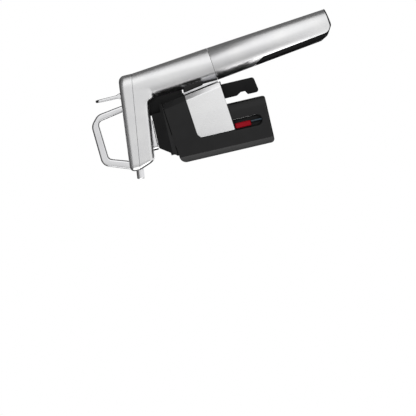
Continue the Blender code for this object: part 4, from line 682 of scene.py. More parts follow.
def make_finishes(sizes):
    """Every finish on the dispenser, by the name of what it is on the real one."""
    metal, casing, grip = sizes.metal_tone, sizes.casing_tone, sizes.grip_tone
    FINISHES.update({
        # Nickel-plated zinc casting, blasted satin: soft broad highlights and no clear reflections
        "satin_nickel": satin_metal("satin_nickel_plate", metal, "E1E1E2", rough=(0.30, 0.36)),
        # The same casting polished where fingers hold it: tighter and brighter highlights
        "polished_nickel": satin_metal("polished_nickel_plate", "E6E6E7", "DEDEE0", rough=(0.12, 0.18),
                                       height=0.000001),
        # The loop's and the trigger's polish, with a dark line of painted shade along their rounded edges,
        # standing in for the dark that those edges reflect
        "painted_edge_shade_loop": shade_edges(
            satin_metal("polished_loop_plate_with_painted_edge_shade", "E6E6E7", "DEDEE0", rough=(0.14, 0.2)),
            LOOP_HALF_WIDTH, LOOP_EDGE_RADIUS),
        "painted_edge_shade_trigger": shade_edges(
            satin_metal("polished_trigger_plate_with_painted_edge_shade", "E6E6E7", "DEDEE0", rough=(0.14, 0.2)),
            TRIGGER_HALF_WIDTH, TRIGGER_ROUND),
        # Stainless sheet brushed along its length: fine lines, and highlights drawn out across them
        "brushed_sheet": satin_metal("brushed_stainless_sheet", "F0F0F0", "E9E9EA", 0.0002, (1, 1, 0.04),
                                     (0.26, 0.36)),
        # Bent bright stainless strip: near mirror, with a slight ripple from bending
        "bright_strip": satin_metal("bright_stainless_strip", "E6E6E8", "D8D9DB", 0.004, rough=(0.10, 0.16)),
        # Drawn stainless wire and tube: faint lines along it
        "drawn_steel": satin_metal("drawn_stainless", "C4C5C8", "B4B5B8", 0.0002, (1, 1, 0.05), (0.18, 0.26)),
        # Oiled spring wire: darker and a little blue
        "spring_steel": satin_metal("spring_wire", "8E9195", "7C7F84", 0.0003, rough=(0.22, 0.30)),
        # Blackened steel rod: dark oxide with a soft shine
        "black_oxide": satin_metal("blackened_steel", "46515A", "384249", 0.0003, rough=(0.26, 0.36)),
        # Machined brass: warm and bright, with the lathe's fine rings
        "machined_brass": satin_metal("machined_brass", "CBA763", "BD9850",
                                      0.0002, (0.1, 0.1, 1), (0.18, 0.28)),
        # Drawn steel capsule, zinc plated: pale with soft cloudy spangle
        "zinc_plate": satin_metal("zinc_plated_steel", "CDCFD2", "B9BCC1", 0.0012, rough=(0.22, 0.34)),
        # Moulded ABS with a fine spark texture: near black with a soft sheen on its rounds
        "black_abs": moulded_plastic("black_abs", casing, "131314"),
        # Glass-filled nylon: duller and a little deeper than the casing
        "black_nylon": moulded_plastic("glass_filled_nylon", "0E0E0F", "0A0A0B", 0.0006,
                                       (0.34, 0.46), shine=0.15),
        # Acetal guide: waxy, with a broad soft highlight
        "black_acetal": moulded_plastic("black_acetal", "1A1A1B", "151516", 0.0005, (0.28, 0.34), 0.000006),
        # Soft grip over the cup: even matt black that keeps a long dull highlight
        "soft_grip": moulded_plastic("soft_touch_elastomer", grip, "0A0A0B", 0.0005,
                                     (0.42, 0.52), shine=0.08),
        # Moulded rubber with its moulding gloss: deep black with sharp small highlights
        "gloss_rubber": moulded_plastic("glossy_black_rubber", "0E0E0F", "0A0A0B", 0.002,
                                        (0.12, 0.18), 0.000004),
        # Nitrile seals and pads: dull black
        "nitrile": moulded_plastic("nitrile_rubber", "0E0E0F", "0B0B0C", 0.0006, (0.5, 0.62)),
        # Moulded silicone pad: deep red with a waxy shine
        "red_silicone": moulded_plastic("red_silicone", "A6001A", "940016", 0.0006, (0.36, 0.44), shine=0.1),
    })


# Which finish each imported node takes
NODE_FINISHES = {
    "satin_nickel": ["head_cap", "main_housing", "cup_shell"],
    "polished_nickel": ["needle_hub", "spout"],
    # The trigger's finish carries painted shade along its rounded edges
    "painted_edge_shade_trigger": ["trigger"],
    "brushed_sheet": ["jaw_plate_left", "jaw_plate_right"],
    "bright_strip": ["nest_saddle"],
    "drawn_steel": ["needle", "trigger_pin", "rail_screw", "base_screw_left", "base_screw_right",
                    "jaw_pin_left", "jaw_pin_right", "catch_plunger", "valve_plunger", "lance"],
    "spring_steel": ["valve_spring", "regulator_spring", "jaw_spring_left", "jaw_spring_right",
                     "catch_spring"],
    "black_oxide": ["slot_rod_left", "slot_rod_right"],
    "machined_brass": ["valve_block", "valve_cap", "regulator_body", "regulator_piston"],
    "zinc_plate": ["gas_capsule"],
    "black_abs": ["jaw_left", "jaw_right"],
    "black_nylon": ["rail", "rail_housing"],
    "black_acetal": ["guide_block", "needle_bush"],
    "soft_grip": ["cup_core"],
    "gloss_rubber": ["saddle_bumper_left", "saddle_bumper_right"],
    "nitrile": ["spout_seal", "capsule_seal", "cup_cushion", "mouth_pad"],
    "red_silicone": ["neck_pad_left", "neck_pad_right"],
}


def dress(thing, finish):
    """Gives an object one finish in all its slots."""
    if not thing.material_slots:
        thing.data.materials.append(FINISHES[finish])
    for slot in thing.material_slots:
        slot.material = FINISHES[finish]


# Turns between two faces of a casting, in degrees, that still count as smooth
CASTING_CREASE = 62
# Rounds of smoothing that take the voxels' steps out of a casting
CASTING_ROUNDS = 8


def melt(thing, voxel):
    """Turns a joined form into one casting: its inner corners fill and its outer edges soften."""
    step = thing.modifiers.new("melt", "REMESH")
    step.mode = "VOXEL"
    step.voxel_size = voxel
    soften = thing.modifiers.new("soften", "SMOOTH")
    soften.factor = 0.5
    soften.iterations = CASTING_ROUNDS
    return settle(thing, CASTING_CREASE)


def wide_box(name, low_x, high_x, half, low_z, high_z):
    return box(name, (low_x, -half, low_z), (high_x, half, high_z))


def seam_block(name, shift, side):
    """All that lies above (side 1) or below (side -1) the joint between cap and housing."""
    left, right = HEAD_FRONT_X - 3 * OVERRUN, SEAM_END_X + 3 * OVERRUN
    far = LOOP_TOP_Z + OVERRUN if side > 0 else -LOOP_TOP_Z
    outline = [(left, seam_z(left) + shift), (right, seam_z(right) + shift), (right, far), (left, far)]
    return prism(name, outline, -2 * HANDLE_RADIUS, 2 * HANDLE_RADIUS)


def handle_block(name):
    """All that lies below the joint between housing and cup."""
    return on_handle(wide_box(name, -2 * HANDLE_RADIUS, 2 * HANDLE_RADIUS, 2 * HANDLE_RADIUS,
                              -CUP_LENGTH - OVERRUN, GAP / 2))


def toward_spout(thing):
    """Stands a piece on the spout's axis, with its Z pointing out of the spout."""
    return placed(thing, SPOUT_ROOT_X, 0, SPOUT_ROOT_Z, (0, SPOUT_TILT - pi / 2, 0))


def spout_bore(name):
    return toward_spout(rod(name, SPOUT_RADIUS + GAP, -SPOUT_INSIDE - GAP, SPOUT_REACH))


def trigger_room():
    """The opening through cap and loop in which the trigger swings."""
    return wide_box("trigger_opening", TRIGGER_X - TRIGGER_SLOT_FRONT, TRIGGER_X + TRIGGER_SLOT_BACK,
                    TRIGGER_HALF_WIDTH + GAP, 0, LOOP_TOP_Z)


def make_cap(sizes):
    """The cap, softened into a casting and cut on its joint."""
    cap = slab("cap_casting", head_plan(), lambda x: seam_z(x) - OVERRUN, cap_top_z, 0, CAP_EDGE_RADIUS)
    melt(cap, sizes.casting_grain)
    cut(cap, seam_block("below_cap", GAP / 2, -1), trigger_room(),
        wide_box("pin_groove", TRIGGER_X - PIN_RADIUS - GAP, TRIGGER_X + PIN_RADIUS + GAP,
                 PIN_HALF_LENGTH + GAP, 0, TRIGGER_PIVOT_Z + PIN_RADIUS + GAP),
        spout_bore("spout_bore_in_cap"), crease=CASTING_CREASE)
    return ease_edges(cap, sizes.edge, 2, CASTING_CREASE, CASTING_CREASE)


def make_loop():
    """The finger loop that rises from the cap, with well rounded edges."""
    box_of_loop = (LOOP_FRONT_X, LOOP_BACK_X, LOOP_BASE_Z, LOOP_TOP_Z)
    outer = rounded(shares_to_points(LOOP_OUTER_SHARES, *box_of_loop),
                    [0, LOOP_SHOULDER_RADIUS, LOOP_SHOULDER_RADIUS, LOOP_OUTER_RADIUS, LOOP_OUTER_RADIUS, 0])
    inner = rounded(shares_to_points(LOOP_INNER_SHARES, *box_of_loop),
                    [0, LOOP_INNER_RADIUS, LOOP_INNER_RADIUS, LOOP_INNER_RADIUS, 0])
    loop = prism("finger_loop", outer + inner, -LOOP_HALF_WIDTH, LOOP_HALF_WIDTH)
    return ease_edges(loop, LOOP_EDGE_RADIUS, 6)


def make_housing(sizes):
    """The housing: a round handle end that flows into the stem over the bottle."""
    rings = []
    levels = 4 * QUARTER
    for k in range(-QUARTER, levels + QUARTER + 1):
        share = k / levels
        shape = min(max(share, 0), 1)
        middle = HANDLE_X + (HANDLE_TOP_X - HANDLE_X) * share
        length = HANDLE_RADIUS + (HANDLE_TOP_HALF_LENGTH - HANDLE_RADIUS) * shape
        width = HANDLE_RADIUS + (HEAD_HALF_WIDTH - HANDLE_RADIUS) * shape
        power = 2 + (HANDLE_TOP_POWER - 2) * shape
        ring = []
        for i in range(ROUND):
            x, y = oval(middle, length, width, power, -2 * pi * i / ROUND)
            bottom = HANDLE_Z + (x - HANDLE_X) * tan(HANDLE_TILT)
            ring.append((x, y, bottom + (seam_z(x) - bottom) * share))
        rings.append(ring)
    housing = loft("housing_casting", rings)

    def front_lean(x, z):
        """Draws the front of the stem back towards its underside."""
        near = min(max((FRONT_RAKE_START - x) / (FRONT_RAKE_START - HEAD_FRONT_X), 0), 1)
        return x + near * FRONT_RAKE_SHARE * (seam_z(x) - z)

    arm = slab("stem_form", head_plan(), stem_z, lambda x: seam_z(x) + OVERRUN, STEM_EDGE_RADIUS, 0,
               front_lean, ROUND // 4)
    keep = wide_box("stem_reach", HEAD_FRONT_X - OVERRUN, HANDLE_TOP_X, HANDLE_RADIUS + OVERRUN, 0,
                    LOOP_TOP_Z)
    combine(arm, keep, "INTERSECT")
    combine(housing, arm, "UNION")
    melt(housing, sizes.casting_grain)
    pocket = prism("valve_pocket", [
        (x, seam_z(x) + shift) for x, shift in
        ((POCKET_FRONT_X, -POCKET_DEPTH), (POCKET_BACK_X, -POCKET_DEPTH), (POCKET_BACK_X, OVERRUN),
         (POCKET_FRONT_X, OVERRUN))], -POCKET_HALF_WIDTH, POCKET_HALF_WIDTH)
    socket = on_handle(rod("cup_socket", CUP_SOCKET_RADIUS, -OVERRUN, CUP_NECK_LENGTH + GAP))
    bore = on_handle(rod("regulator_bore", REGULATOR_RADIUS + GAP, 0, REGULATOR_ROOM))
    cut(housing, seam_block("above_housing", -GAP / 2, 1), handle_block("below_housing"), pocket, socket,
        bore, spout_bore("spout_bore_in_housing"), rod("hub_hole", HUB_STEM_RADIUS + GAP, 0, HUB_TOP_Z),
        crease=CASTING_CREASE)
    return ease_edges(housing, sizes.edge, 2, CASTING_CREASE, CASTING_CREASE)


def cup_side_form(name):
    """What is left of the cup seen from the side: its far end is cut square above, sloped below."""
    wide = HANDLE_RADIUS + OVERRUN
    slope = shares_to_points(CUP_TIP_SHARES, 0, CUP_TIP_RADIUS, 0, -CUP_LENGTH)
    top = CUP_NECK_LENGTH + OVERRUN
    corners = [(wide, top), (wide, CUP_TIP_SHARE * -CUP_LENGTH), *slope, (-wide, -CUP_CUT_FULL * 2),
               (-wide, top)]
    radii = [0, 0, CUP_UNDER_CORNER / 2, CUP_UNDER_CORNER / 2, CUP_UNDER_CORNER, 0, 0]
    return on_handle(prism(name, rounded(corners, radii), -wide, wide))


def cup_window(name, margin):
    """The window under the cup where its core shows, shrunk by margin."""
    wide = HANDLE_RADIUS + OVERRUN
    low = -CUP_CUT_HEIGHT - margin
    end = -(CUP_LENGTH - CUP_END_RIM) - margin
    corners = [
        (-wide, -CUP_CUT_START - margin), (low - CUP_CUT_RISE, -CUP_CUT_FULL - margin),
        (low, end), (wide, end), (wide, -CUP_LENGTH - 2 * OVERRUN), (-wide, -CUP_LENGTH - 2 * OVERRUN),
    ]
    return on_handle(prism(name, rounded(corners, [0, CUP_CUT_CORNER, CUP_CUT_CORNER, 0, 0, 0]), -wide, wide))


def make_cup_shell(sizes):
    """The thin metal shell round the cup, open underneath where the grip shows."""
    top, end = -GAP / 2, CUP_END_RIM - CUP_LENGTH
    wall = CUP_SHELL_WALL
    profile = [(handle_radius(-top) - wall, top), (handle_radius(-top), top),
               (handle_radius(-end), end), (handle_radius(-end) - wall, end)]
    shell = on_handle(turned("cup_shell_skin", profile, 2 * ROUND))
    combine(shell, cup_side_form("cup_side_of_shell"), "INTERSECT")
    cut(shell, cup_window("cup_window_in_shell", 0))
    return ease_edges(shell, sizes.edge, 2, 30)


def make_cup_grip(sizes):
    """The soft core: it shows in the window and at the end, and its neck screws into the head."""
    low, high, top = -CUP_LENGTH, -GAP / 2, CUP_NECK_LENGTH
    angles = [pi / 2 * k / QUARTER for k in range(QUARTER + 1)]
    end = handle_radius(-low)
    rim = [(end - CUP_END_ROUND * (1 - sin(a)), low + CUP_END_ROUND * (1 - cos(a))) for a in angles]
    solid = [(0, low), *rim, (handle_radius(-high), high), (CUP_NECK_RADIUS, high),
             (CUP_NECK_RADIUS, top), (CAPSULE_BORE_RADIUS, top), (CAPSULE_BORE_RADIUS, CAPSULE_FLOOR_Z),
             (0, CAPSULE_FLOOR_Z)]
    grip = on_handle(turned("cup_grip", solid, 2 * ROUND))
    combine(grip, cup_side_form("cup_side_of_grip"), "INTERSECT")
    inner = CUP_SHELL_WALL + GAP
    profile = [(handle_radius(-OVERRUN) - inner, OVERRUN), (HANDLE_RADIUS + OVERRUN, OVERRUN),
               (HANDLE_RADIUS + OVERRUN, low - OVERRUN),
               (handle_radius(-low + OVERRUN) - inner, low - OVERRUN)]
    room = cut(on_handle(turned("shell_room", profile, 2 * ROUND)), cup_window("cup_window_in_room", GAP))
    cut(grip, room)
    return ease_edges(grip, sizes.edge, 2, 30)


def jaw_side_outline():
    """A jaw seen from the side, with its cheek beside the spine."""
    low = JAW_BOTTOM_Z
    cheek_low = PLATE_BOTTOM_Z + JAW_CHEEK_LOW_X * tan(PLATE_TILT) - GAP
    corners = [
        (JAW_FRONT_X, low, JAW_FRONT_CORNER),
        (JAW_FRONT_X, case_z(JAW_FRONT_X) - JAW_TOP_GAP, JAW_TOP_CORNER),
        (GUIDE_BACK_X, case_z(GUIDE_BACK_X) - JAW_TOP_GAP, GUIDE_CORNER),
        (cheek_x(SADDLE_TOP_Z), SADDLE_TOP_Z, 0),
        (cheek_x(cheek_low), cheek_low, JAW_END_CORNER),
        (JAW_BACK_X, JAW_SHOULDER_Z, 0), (JAW_BACK_X, low, JAW_END_CORNER),
    ]
    return rounded_corners(corners)


def slot_outline(margin):
    """The slot in the jaw's side, square under the plate and round at its lower end."""
    half = SLOT_HALF_HEIGHT + margin
    low_x, high_x = SLOT_MIDDLE_X - half, SLOT_MIDDLE_X + half
    corners = [(low_x, SLOT_TOP_Z), (high_x, SLOT_TOP_Z), (high_x, SLOT_BOTTOM_Z - margin),
               (low_x, SLOT_BOTTOM_Z - margin)]
    return rounded(corners, [0, 0, half - GAP, half - GAP])


def slot_form(side, deep):
    """The slot through the jaw's side, widening in a quarter round to its rim."""
    levels = [(deep, 0)]
    for k in range(QUARTER + 1):
        turn = pi / 2 * k / QUARTER
        levels.append((JAW_HALF_WIDTH - SLOT_BEVEL * (1 - sin(turn)), SLOT_BEVEL * (1 - cos(turn))))
    levels.append((JAW_HALF_WIDTH + OVERRUN, SLOT_BEVEL))
    return loft("slot", [[(x, side * y, z) for x, z in slot_outline(margin)] for y, margin in levels])


def cheek_form(side, low, high):
    """The cheek beside the spine, whose bend and upper edge lean with the handle."""
    rings = []
    drop = JAW_CHEEK_WIDTH * tan(JAW_CHEEK_TILT)
    for z in (low, high):
        edge = cheek_x(z) + GAP
        plan = [(0, JAW_CHEEK_INNER_Y), (0, JAW_HALF_WIDTH), (edge - JAW_CHEEK_WIDTH, JAW_HALF_WIDTH),
                (edge, JAW_HALF_WIDTH - drop), (edge, JAW_CHEEK_INNER_Y)]
        rings.append([(x, side * y, z) for x, y in plan])
    return loft("cheek", rings)


def jaw_pin_hole(side):
    """Room for the pin that a jaw swings on."""
    reach = JAW_PIN_HALF_LENGTH + GAP
    return placed(rod("pin_hole", JAW_PIN_RADIUS + GAP, -reach, reach),
                  0, side * JAW_PIN_Y, JAW_PIN_Z, (0, pi / 2, 0))


def make_jaw(sizes, side):
    """Half of the sleeve round the neck, with its bevelled front edge and its slot."""
    wide, back = JAW_HALF_WIDTH, JAW_BACK_X
    high = case_z(GUIDE_BACK_X) + OVERRUN
    corners = [
        (JAW_FRONT_X, JAW_SPLIT, 0), (JAW_FRONT_X, wide - JAW_FRONT_BEVEL, GUIDE_CORNER),
        (JAW_FRONT_X + JAW_FRONT_BEVEL, wide, GUIDE_CORNER), (back, wide, JAW_BACK_RADIUS),
        (back, JAW_SPLIT, 0),
    ]
    outline = rounded_corners([(x, side * y, radius) for x, y, radius in corners])
    jaw = prism(f"jaw_skin_{SIDE_WORDS[side]}", outline, JAW_BOTTOM_Z - OVERRUN, high, "z")
    combine(jaw, cheek_form(side, JAW_SHOULDER_Z - JAW_END_CORNER, high), "UNION")
    reach = sorted((-side * OVERRUN, side * (wide + OVERRUN)))
    combine(jaw, prism("jaw_side_form", jaw_side_outline(), reach[0], reach[1]), "INTERSECT")
    ease_edges(jaw, sizes.soft_edge, 3, 25)
    clear = CATCH_BOSS_HALF_WIDTH + JAW_RELIEF
    pocket = sorted((side * (NECK_BORE_RADIUS - OVERRUN), side * (wide - JAW_POCKET_WALL)))
    recess = sorted((side * (NECK_BORE_RADIUS - SLOT_HALF_HEIGHT), side * (PAD_FLANGE_OUTER_Y + GAP)))
    margin = PAD_FLANGE_MARGIN + GAP
    cut(jaw,
        rod("neck_bore", NECK_BORE_RADIUS, JAW_BOTTOM_Z - OVERRUN, high + OVERRUN, 2 * ROUND),
        wide_box("front_relief", JAW_FRONT_X - OVERRUN, 0, JAW_RELIEF, JAW_RELIEF_Z, high + OVERRUN),
        wide_box("catch_room", 0, back + OVERRUN, clear, CATCH_Z - 2 * CATCH_BOSS_HALF_HEIGHT,
                 high + OVERRUN),
        box("lug_pocket", (-JAW_POCKET_HALF_LENGTH, pocket[0], JAW_PIN_Z - JAW_POCKET_DEPTH),
            (JAW_POCKET_HALF_LENGTH, pocket[1], high + OVERRUN)),
        slot_form(side, NECK_BORE_RADIUS - SLOT_HALF_HEIGHT),
        box("pad_recess", (PAD_LOW_X - margin, recess[0], SLOT_BOTTOM_Z - margin),
            (PAD_HIGH_X + margin, recess[1], SLOT_TOP_Z + margin)),
        placed(rod("rod_hole", ROD_RADIUS + GAP, ROD_BOTTOM_Z - GAP, PAD_BOTTOM_Z),
               SLOT_MIDDLE_X, side * ROD_Y),
        jaw_pin_hole(side))
    return jaw


def make_plate(sizes, side):
    """The brushed sheet on the jaw's flat side, bent in over the cheek, with its edges rolled."""
    inner = JAW_HALF_WIDTH + GAP
    outer = inner + PLATE_THICKNESS
    rise = PLATE_THICKNESS * tan(JAW_CHEEK_TILT / 2)
    fall = tan(JAW_CHEEK_TILT)
    rings = []
    for z in (PLATE_BOTTOM_Z - OVERRUN, OVERRUN):
        end = cheek_x(z) + OVERRUN
        bend = cheek_x(z) - JAW_CHEEK_WIDTH + GAP
        plan = [
            (PLATE_LOW_X - GAP, inner), (PLATE_LOW_X - GAP, outer), (bend + rise, outer),
            (end, outer - (end - bend - rise) * fall), (end, inner - (end - bend) * fall), (bend, inner),
        ]
        rings.append([(x, side * y, z) for x, y in rounded(plan, [0, 0, PLATE_BEND, 0, 0, PLATE_BEND])])
    plate = loft(f"plate_skin_{SIDE_WORDS[side]}", rings)
    slope = tan(PLATE_TILT)
    low_x, top_x, end_x = PLATE_LOW_X, cheek_x(SADDLE_TOP_Z) - GAP, cheek_x(SADDLE_END_Z) - GAP
    corners = [(low_x, PLATE_TOP_Z + low_x * slope), (top_x, PLATE_TOP_Z + top_x * slope),
               (end_x, PLATE_BOTTOM_Z + end_x * slope), (low_x, PLATE_BOTTOM_Z + low_x * slope)]
    small = PLATE_SMALL_CORNER
    reach = sorted((0, side * (outer + OVERRUN)))
    combine(plate, prism("plate_side_form", rounded(corners, [PLATE_CORNER, small, small, small]),
                         reach[0], reach[1]), "INTERSECT")
    return ease_edges(plate, sizes.edge, 3, 30)


def make_pad_seat(sizes, side):
    """The dark rubber flange that holds the grip pad behind the slot."""
    ends = sorted((side * PAD_FLANGE_INNER_Y, side * PAD_FLANGE_OUTER_Y))
    margin = PAD_FLANGE_MARGIN
    seat = box(f"pad_seat_{SIDE_WORDS[side]}", (PAD_LOW_X - margin, ends[0], SLOT_BOTTOM_Z - margin),
               (PAD_HIGH_X + margin, ends[1], SLOT_TOP_Z + margin))
    return ease_edges(seat, sizes.edge)


def make_pad_bar(side):
    """The red bar of the grip pad, crowned where it stands in the slot."""
    ends = sorted((side * (PAD_FLANGE_OUTER_Y + GAP / 3), side * PAD_OUTER_Y))
    outline = [(PAD_LOW_X, PAD_BOTTOM_Z), (PAD_HIGH_X, PAD_BOTTOM_Z), (PAD_HIGH_X, SLOT_TOP_Z - GAP),
               (PAD_LOW_X, SLOT_TOP_Z - GAP)]
    return ease_edges(prism(f"pad_bar_{SIDE_WORDS[side]}", outline, *ends), PAD_EDGE, 4)


def make_guide(sizes):
    """The block on the bottle mouth, with the plug in the jaws and the lugs of their pins."""
    front, back, top = GUIDE_FRONT_X, GUIDE_BACK_X, GUIDE_TOP_Z
    corners = [
        (front, case_z(front) + GAP / 2, 0), (GUIDE_TOP_FRONT_X, top, GUIDE_CORNER),
        (GUIDE_TOP_BACK_X, top, GUIDE_CORNER), (GUIDE_TOP_BACK_X, GUIDE_SHOULDER_Z, GUIDE_CORNER),
        (back, GUIDE_SHOULDER_Z, GUIDE_CORNER / 2), (back, case_z(back) + GAP / 2, 0),
    ]
    outline = rounded_corners(corners)
    wide, narrow = GUIDE_FLANGE_HALF_WIDTH, GUIDE_HALF_WIDTH
    guide = prism("guide_skin", outline, -wide, wide)
    bend = case_z(back) + GAP
    ends = [(-wide, 0), (wide, 0), (wide, bend), (narrow, top + GAP), (-narrow, top + GAP), (-wide, bend)]
    radii = [0, 0, GUIDE_CORNER, GUIDE_CORNER, GUIDE_CORNER, GUIDE_CORNER]
    combine(guide, prism("guide_ends", rounded(ends, radii), front - OVERRUN, back + OVERRUN, "x"),
            "INTERSECT")
    ease_edges(guide, sizes.soft_edge / 2, 3, 25)
    combine(guide, rod("guide_plug", PLUG_RADIUS, MOUTH_PAD_TOP_Z, GUIDE_SHOULDER_Z - GAP, ROUND), "UNION")
    for side in (-1, 1):
        lug = box("guide_lug", (-JAW_LUG_HALF_LENGTH, side * JAW_PIN_Y - JAW_LUG_HALF_THICKNESS,
                                JAW_PIN_Z - JAW_LUG_HALF_THICKNESS),
                  (JAW_LUG_HALF_LENGTH, side * JAW_PIN_Y + JAW_LUG_HALF_THICKNESS, case_z(back) + GAP))
        combine(guide, lug, "UNION")
    return cut(guide, rod("bush_hole", NEEDLE_BUSH_RADIUS + GAP, GUIDE_SHOULDER_Z, top + OVERRUN),
               rod("needle_way", NEEDLE_BUSH_BORE + GAP, -OVERRUN, top),
               wide_box("rail_tunnel", RAIL_FRONT_X - RAIL_CLEARANCE, SADDLE_END_X + OVERRUN,
                        RAIL_HALF_WIDTH + RAIL_CLEARANCE, -OVERRUN, top + OVERRUN),
               jaw_pin_hole(-1), jaw_pin_hole(1))


def make_gasket():
    """The thin gasket between the guide block and the casing, which shuts the joint to light."""
    front, back = GUIDE_FRONT_X + GASKET_INSET, GUIDE_BACK_X - GASKET_INSET
    outline = [(front, case_z(front) - GAP / 2), (back, case_z(back) - GAP / 2),
               (back, case_z(back) + GAP / 3), (front, case_z(front) + GAP / 3)]
    gasket = prism("seam_gasket", outline, -GASKET_HALF_WIDTH, GASKET_HALF_WIDTH)
    return cut(gasket, wide_box("rail_way", RAIL_FRONT_X - RAIL_CLEARANCE, back + OVERRUN,
                                RAIL_HALF_WIDTH + RAIL_CLEARANCE, 0, GUIDE_TOP_Z),
               rod("plug_way", PLUG_RADIUS + GAP, 0, GUIDE_TOP_Z))


def make_trigger():
    """The trigger: a tapered blade with rounded edges on a collar, a hub and an arm below."""
    x, pivot, tip, half = TRIGGER_X, TRIGGER_PIVOT_Z, TRIGGER_TIP_Z, TRIGGER_HALF_WIDTH
    root, end, flare = TRIGGER_ROOT_THICKNESS / 2, TRIGGER_TIP_THICKNESS / 2, TRIGGER_COLLAR_THICKNESS / 2
    arm, round_x = TRIGGER_ARM_THICKNESS / 2, (pi / 2, 0, 0)
    outline = [(x - root, pivot), (x - root, TRIGGER_COLLAR_Z), (x - end, tip), (x + end, tip),
               (x + root, TRIGGER_COLLAR_Z), (x + root, pivot)]
    trigger = prism("trigger_blade", outline, -half, half)
    face = rounded([(-half, pivot), (half, pivot), (half, tip), (-half, tip)],
                   [0, 0, TRIGGER_TIP_CORNER, TRIGGER_TIP_CORNER])
    combine(trigger, prism("blade_face", face, x - 2 * flare, x + 2 * flare, "x"), "INTERSECT")
    ease_edges(trigger, TRIGGER_ROUND, 4, 30)
    low = cap_top_z(x) - GAP
    outline = [(x - flare, low), (x - root, TRIGGER_COLLAR_Z), (x + root, TRIGGER_COLLAR_Z), (x + flare, low)]
    collar = prism("trigger_collar", outline, -half, half)
    ease_edges(collar, TRIGGER_ROUND, 4, 30)
    combine(trigger, collar, "UNION")
    hub = placed(rod("trigger_hub", TRIGGER_HUB_RADIUS, -half, half), x, 0, pivot, round_x)
    combine(trigger, hub, "UNION")
    lever = wide_box("trigger_arm", x - arm, x + arm, 2 * PLUNGER_RADIUS, TRIGGER_LOW_Z, pivot)
    combine(trigger, ease_edges(lever), "UNION")
    return cut(trigger, placed(rod("pin_hole", PIN_RADIUS + GAP, -half - OVERRUN, half + OVERRUN),
                               x, 0, pivot, round_x))


def ribs_tree():
    """A node tree that lays a row of short round ribs along X, in the order of its inputs."""
    tree = bpy.data.node_groups.new("rib_row", "GeometryNodeTree")
    face = tree.interface
    face.new_socket("Geometry", in_out="INPUT", socket_type="NodeSocketGeometry")
    for name, kind in (("Count", "Int"), ("Pitch", "Float"), ("Length", "Float"), ("Radius", "Float"),
                       ("Finish", "Material")):
        face.new_socket(name, in_out="INPUT", socket_type="NodeSocket" + kind)
    face.new_socket("Geometry", in_out="OUTPUT", socket_type="NodeSocketGeometry")
    given = add_node(tree, "NodeGroupInput").outputs
    half = add_node(tree, "ShaderNodeMath", {0: given["Length"], 1: 0.5}, operation="MULTIPLY").outputs[0]
    low = add_node(tree, "ShaderNodeMath", {0: half, 1: -1.0}, operation="MULTIPLY").outputs[0]
    start = add_node(tree, "ShaderNodeCombineXYZ", {"Y": low})
    end = add_node(tree, "ShaderNodeCombineXYZ", {"Y": half})
    line = add_node(tree, "GeometryNodeCurvePrimitiveLine",
                    {"Start": start.outputs[0], "End": end.outputs[0]})
    ring = add_node(tree, "GeometryNodeCurvePrimitiveCircle", {"Resolution": 12, "Radius": given["Radius"]})
    bar = add_node(tree, "GeometryNodeCurveToMesh",
                   {"Curve": line.outputs["Curve"], "Profile Curve": ring.outputs["Curve"],
                    "Fill Caps": True})
    step = add_node(tree, "ShaderNodeCombineXYZ", {"X": given["Pitch"]})
    row = add_node(tree, "GeometryNodeMeshLine", {"Count": given["Count"], "Offset": step.outputs[0]})
    bars = add_node(tree, "GeometryNodeInstanceOnPoints", {"Points": row.outputs["Mesh"],
                                                           "Instance": bar.outputs["Mesh"]})
    real = add_node(tree, "GeometryNodeRealizeInstances", {"Geometry": bars.outputs["Instances"]})
    dressed = add_node(tree, "GeometryNodeSetMaterial", {"Geometry": real.outputs["Geometry"],
                                                         "Material": given["Finish"]})
    add_node(tree, "NodeGroupOutput", {"Geometry": dressed.outputs["Geometry"]})
    return tree


def grow(name, tree, finish, **inputs):
    """A plain mesh made by a node tree from the given inputs."""
    bm = bmesh.new()
    bm.verts.new((0, 0, 0))
    mesh = bpy.data.meshes.new(name)
    bm.to_mesh(mesh)
    bm.free()
    thing = stand(name, mesh)
    step = thing.modifiers.new("grow", "NODES")
    step.node_group = tree
    sockets = {item.name: item.identifier for item in tree.interface.items_tree if item.in_out == "INPUT"}
    for key, value in {**inputs, "Finish": FINISHES[finish]}.items():
        step[sockets[key]] = value
    return settle(thing)


def make_trigger_ribs():
    """Fine ribs across the underside of the blade, where a finger pulls."""
    span = TRIGGER_TIP_Z - TRIGGER_COLLAR_Z
    pitch = span / (TRIGGER_RIB_COUNT + 2)
    ribs = grow("trigger_ribs", ribs_tree(), "black_oxide", Count=TRIGGER_RIB_COUNT, Pitch=pitch,
                Length=2 * TRIGGER_HALF_WIDTH - 4 * TRIGGER_ROUND, Radius=TRIGGER_RIB_RADIUS)
    lean = atan2(TRIGGER_ROOT_THICKNESS - TRIGGER_TIP_THICKNESS, 2 * span)
    return placed(ribs, TRIGGER_X - TRIGGER_ROOT_THICKNESS / 2 + pitch * tan(lean), 0,
                  TRIGGER_COLLAR_Z + pitch, (0, lean - pi / 2, 0))


def make_hub(sizes):
    """The chin under the head that the needle hangs from."""
    corners = [(HUB_FRONT_X, HUB_HALF_WIDTH), (HUB_BACK_X, HUB_HALF_WIDTH), (HUB_BACK_X, -HUB_HALF_WIDTH),
               (HUB_FRONT_X, -HUB_HALF_WIDTH)]
    hub = slab("needle_chin", rounded(corners, [HUB_CORNER, 0, 0, HUB_CORNER]), lambda x: HUB_BASE_Z,
               lambda x: stem_z(x) - GAP, 0, 0)
    combine(hub, rod("hub_stem", HUB_STEM_RADIUS, HUB_BASE_Z + GAP, HUB_TOP_Z - 2 * GAP), "UNION")
    cut(hub, rod("needle_hole", NEEDLE_RADIUS + GAP, HUB_BASE_Z - OVERRUN, SEAM_END_Z + OVERRUN))
    return ease_edges(hub, sizes.edge, 2, 40)


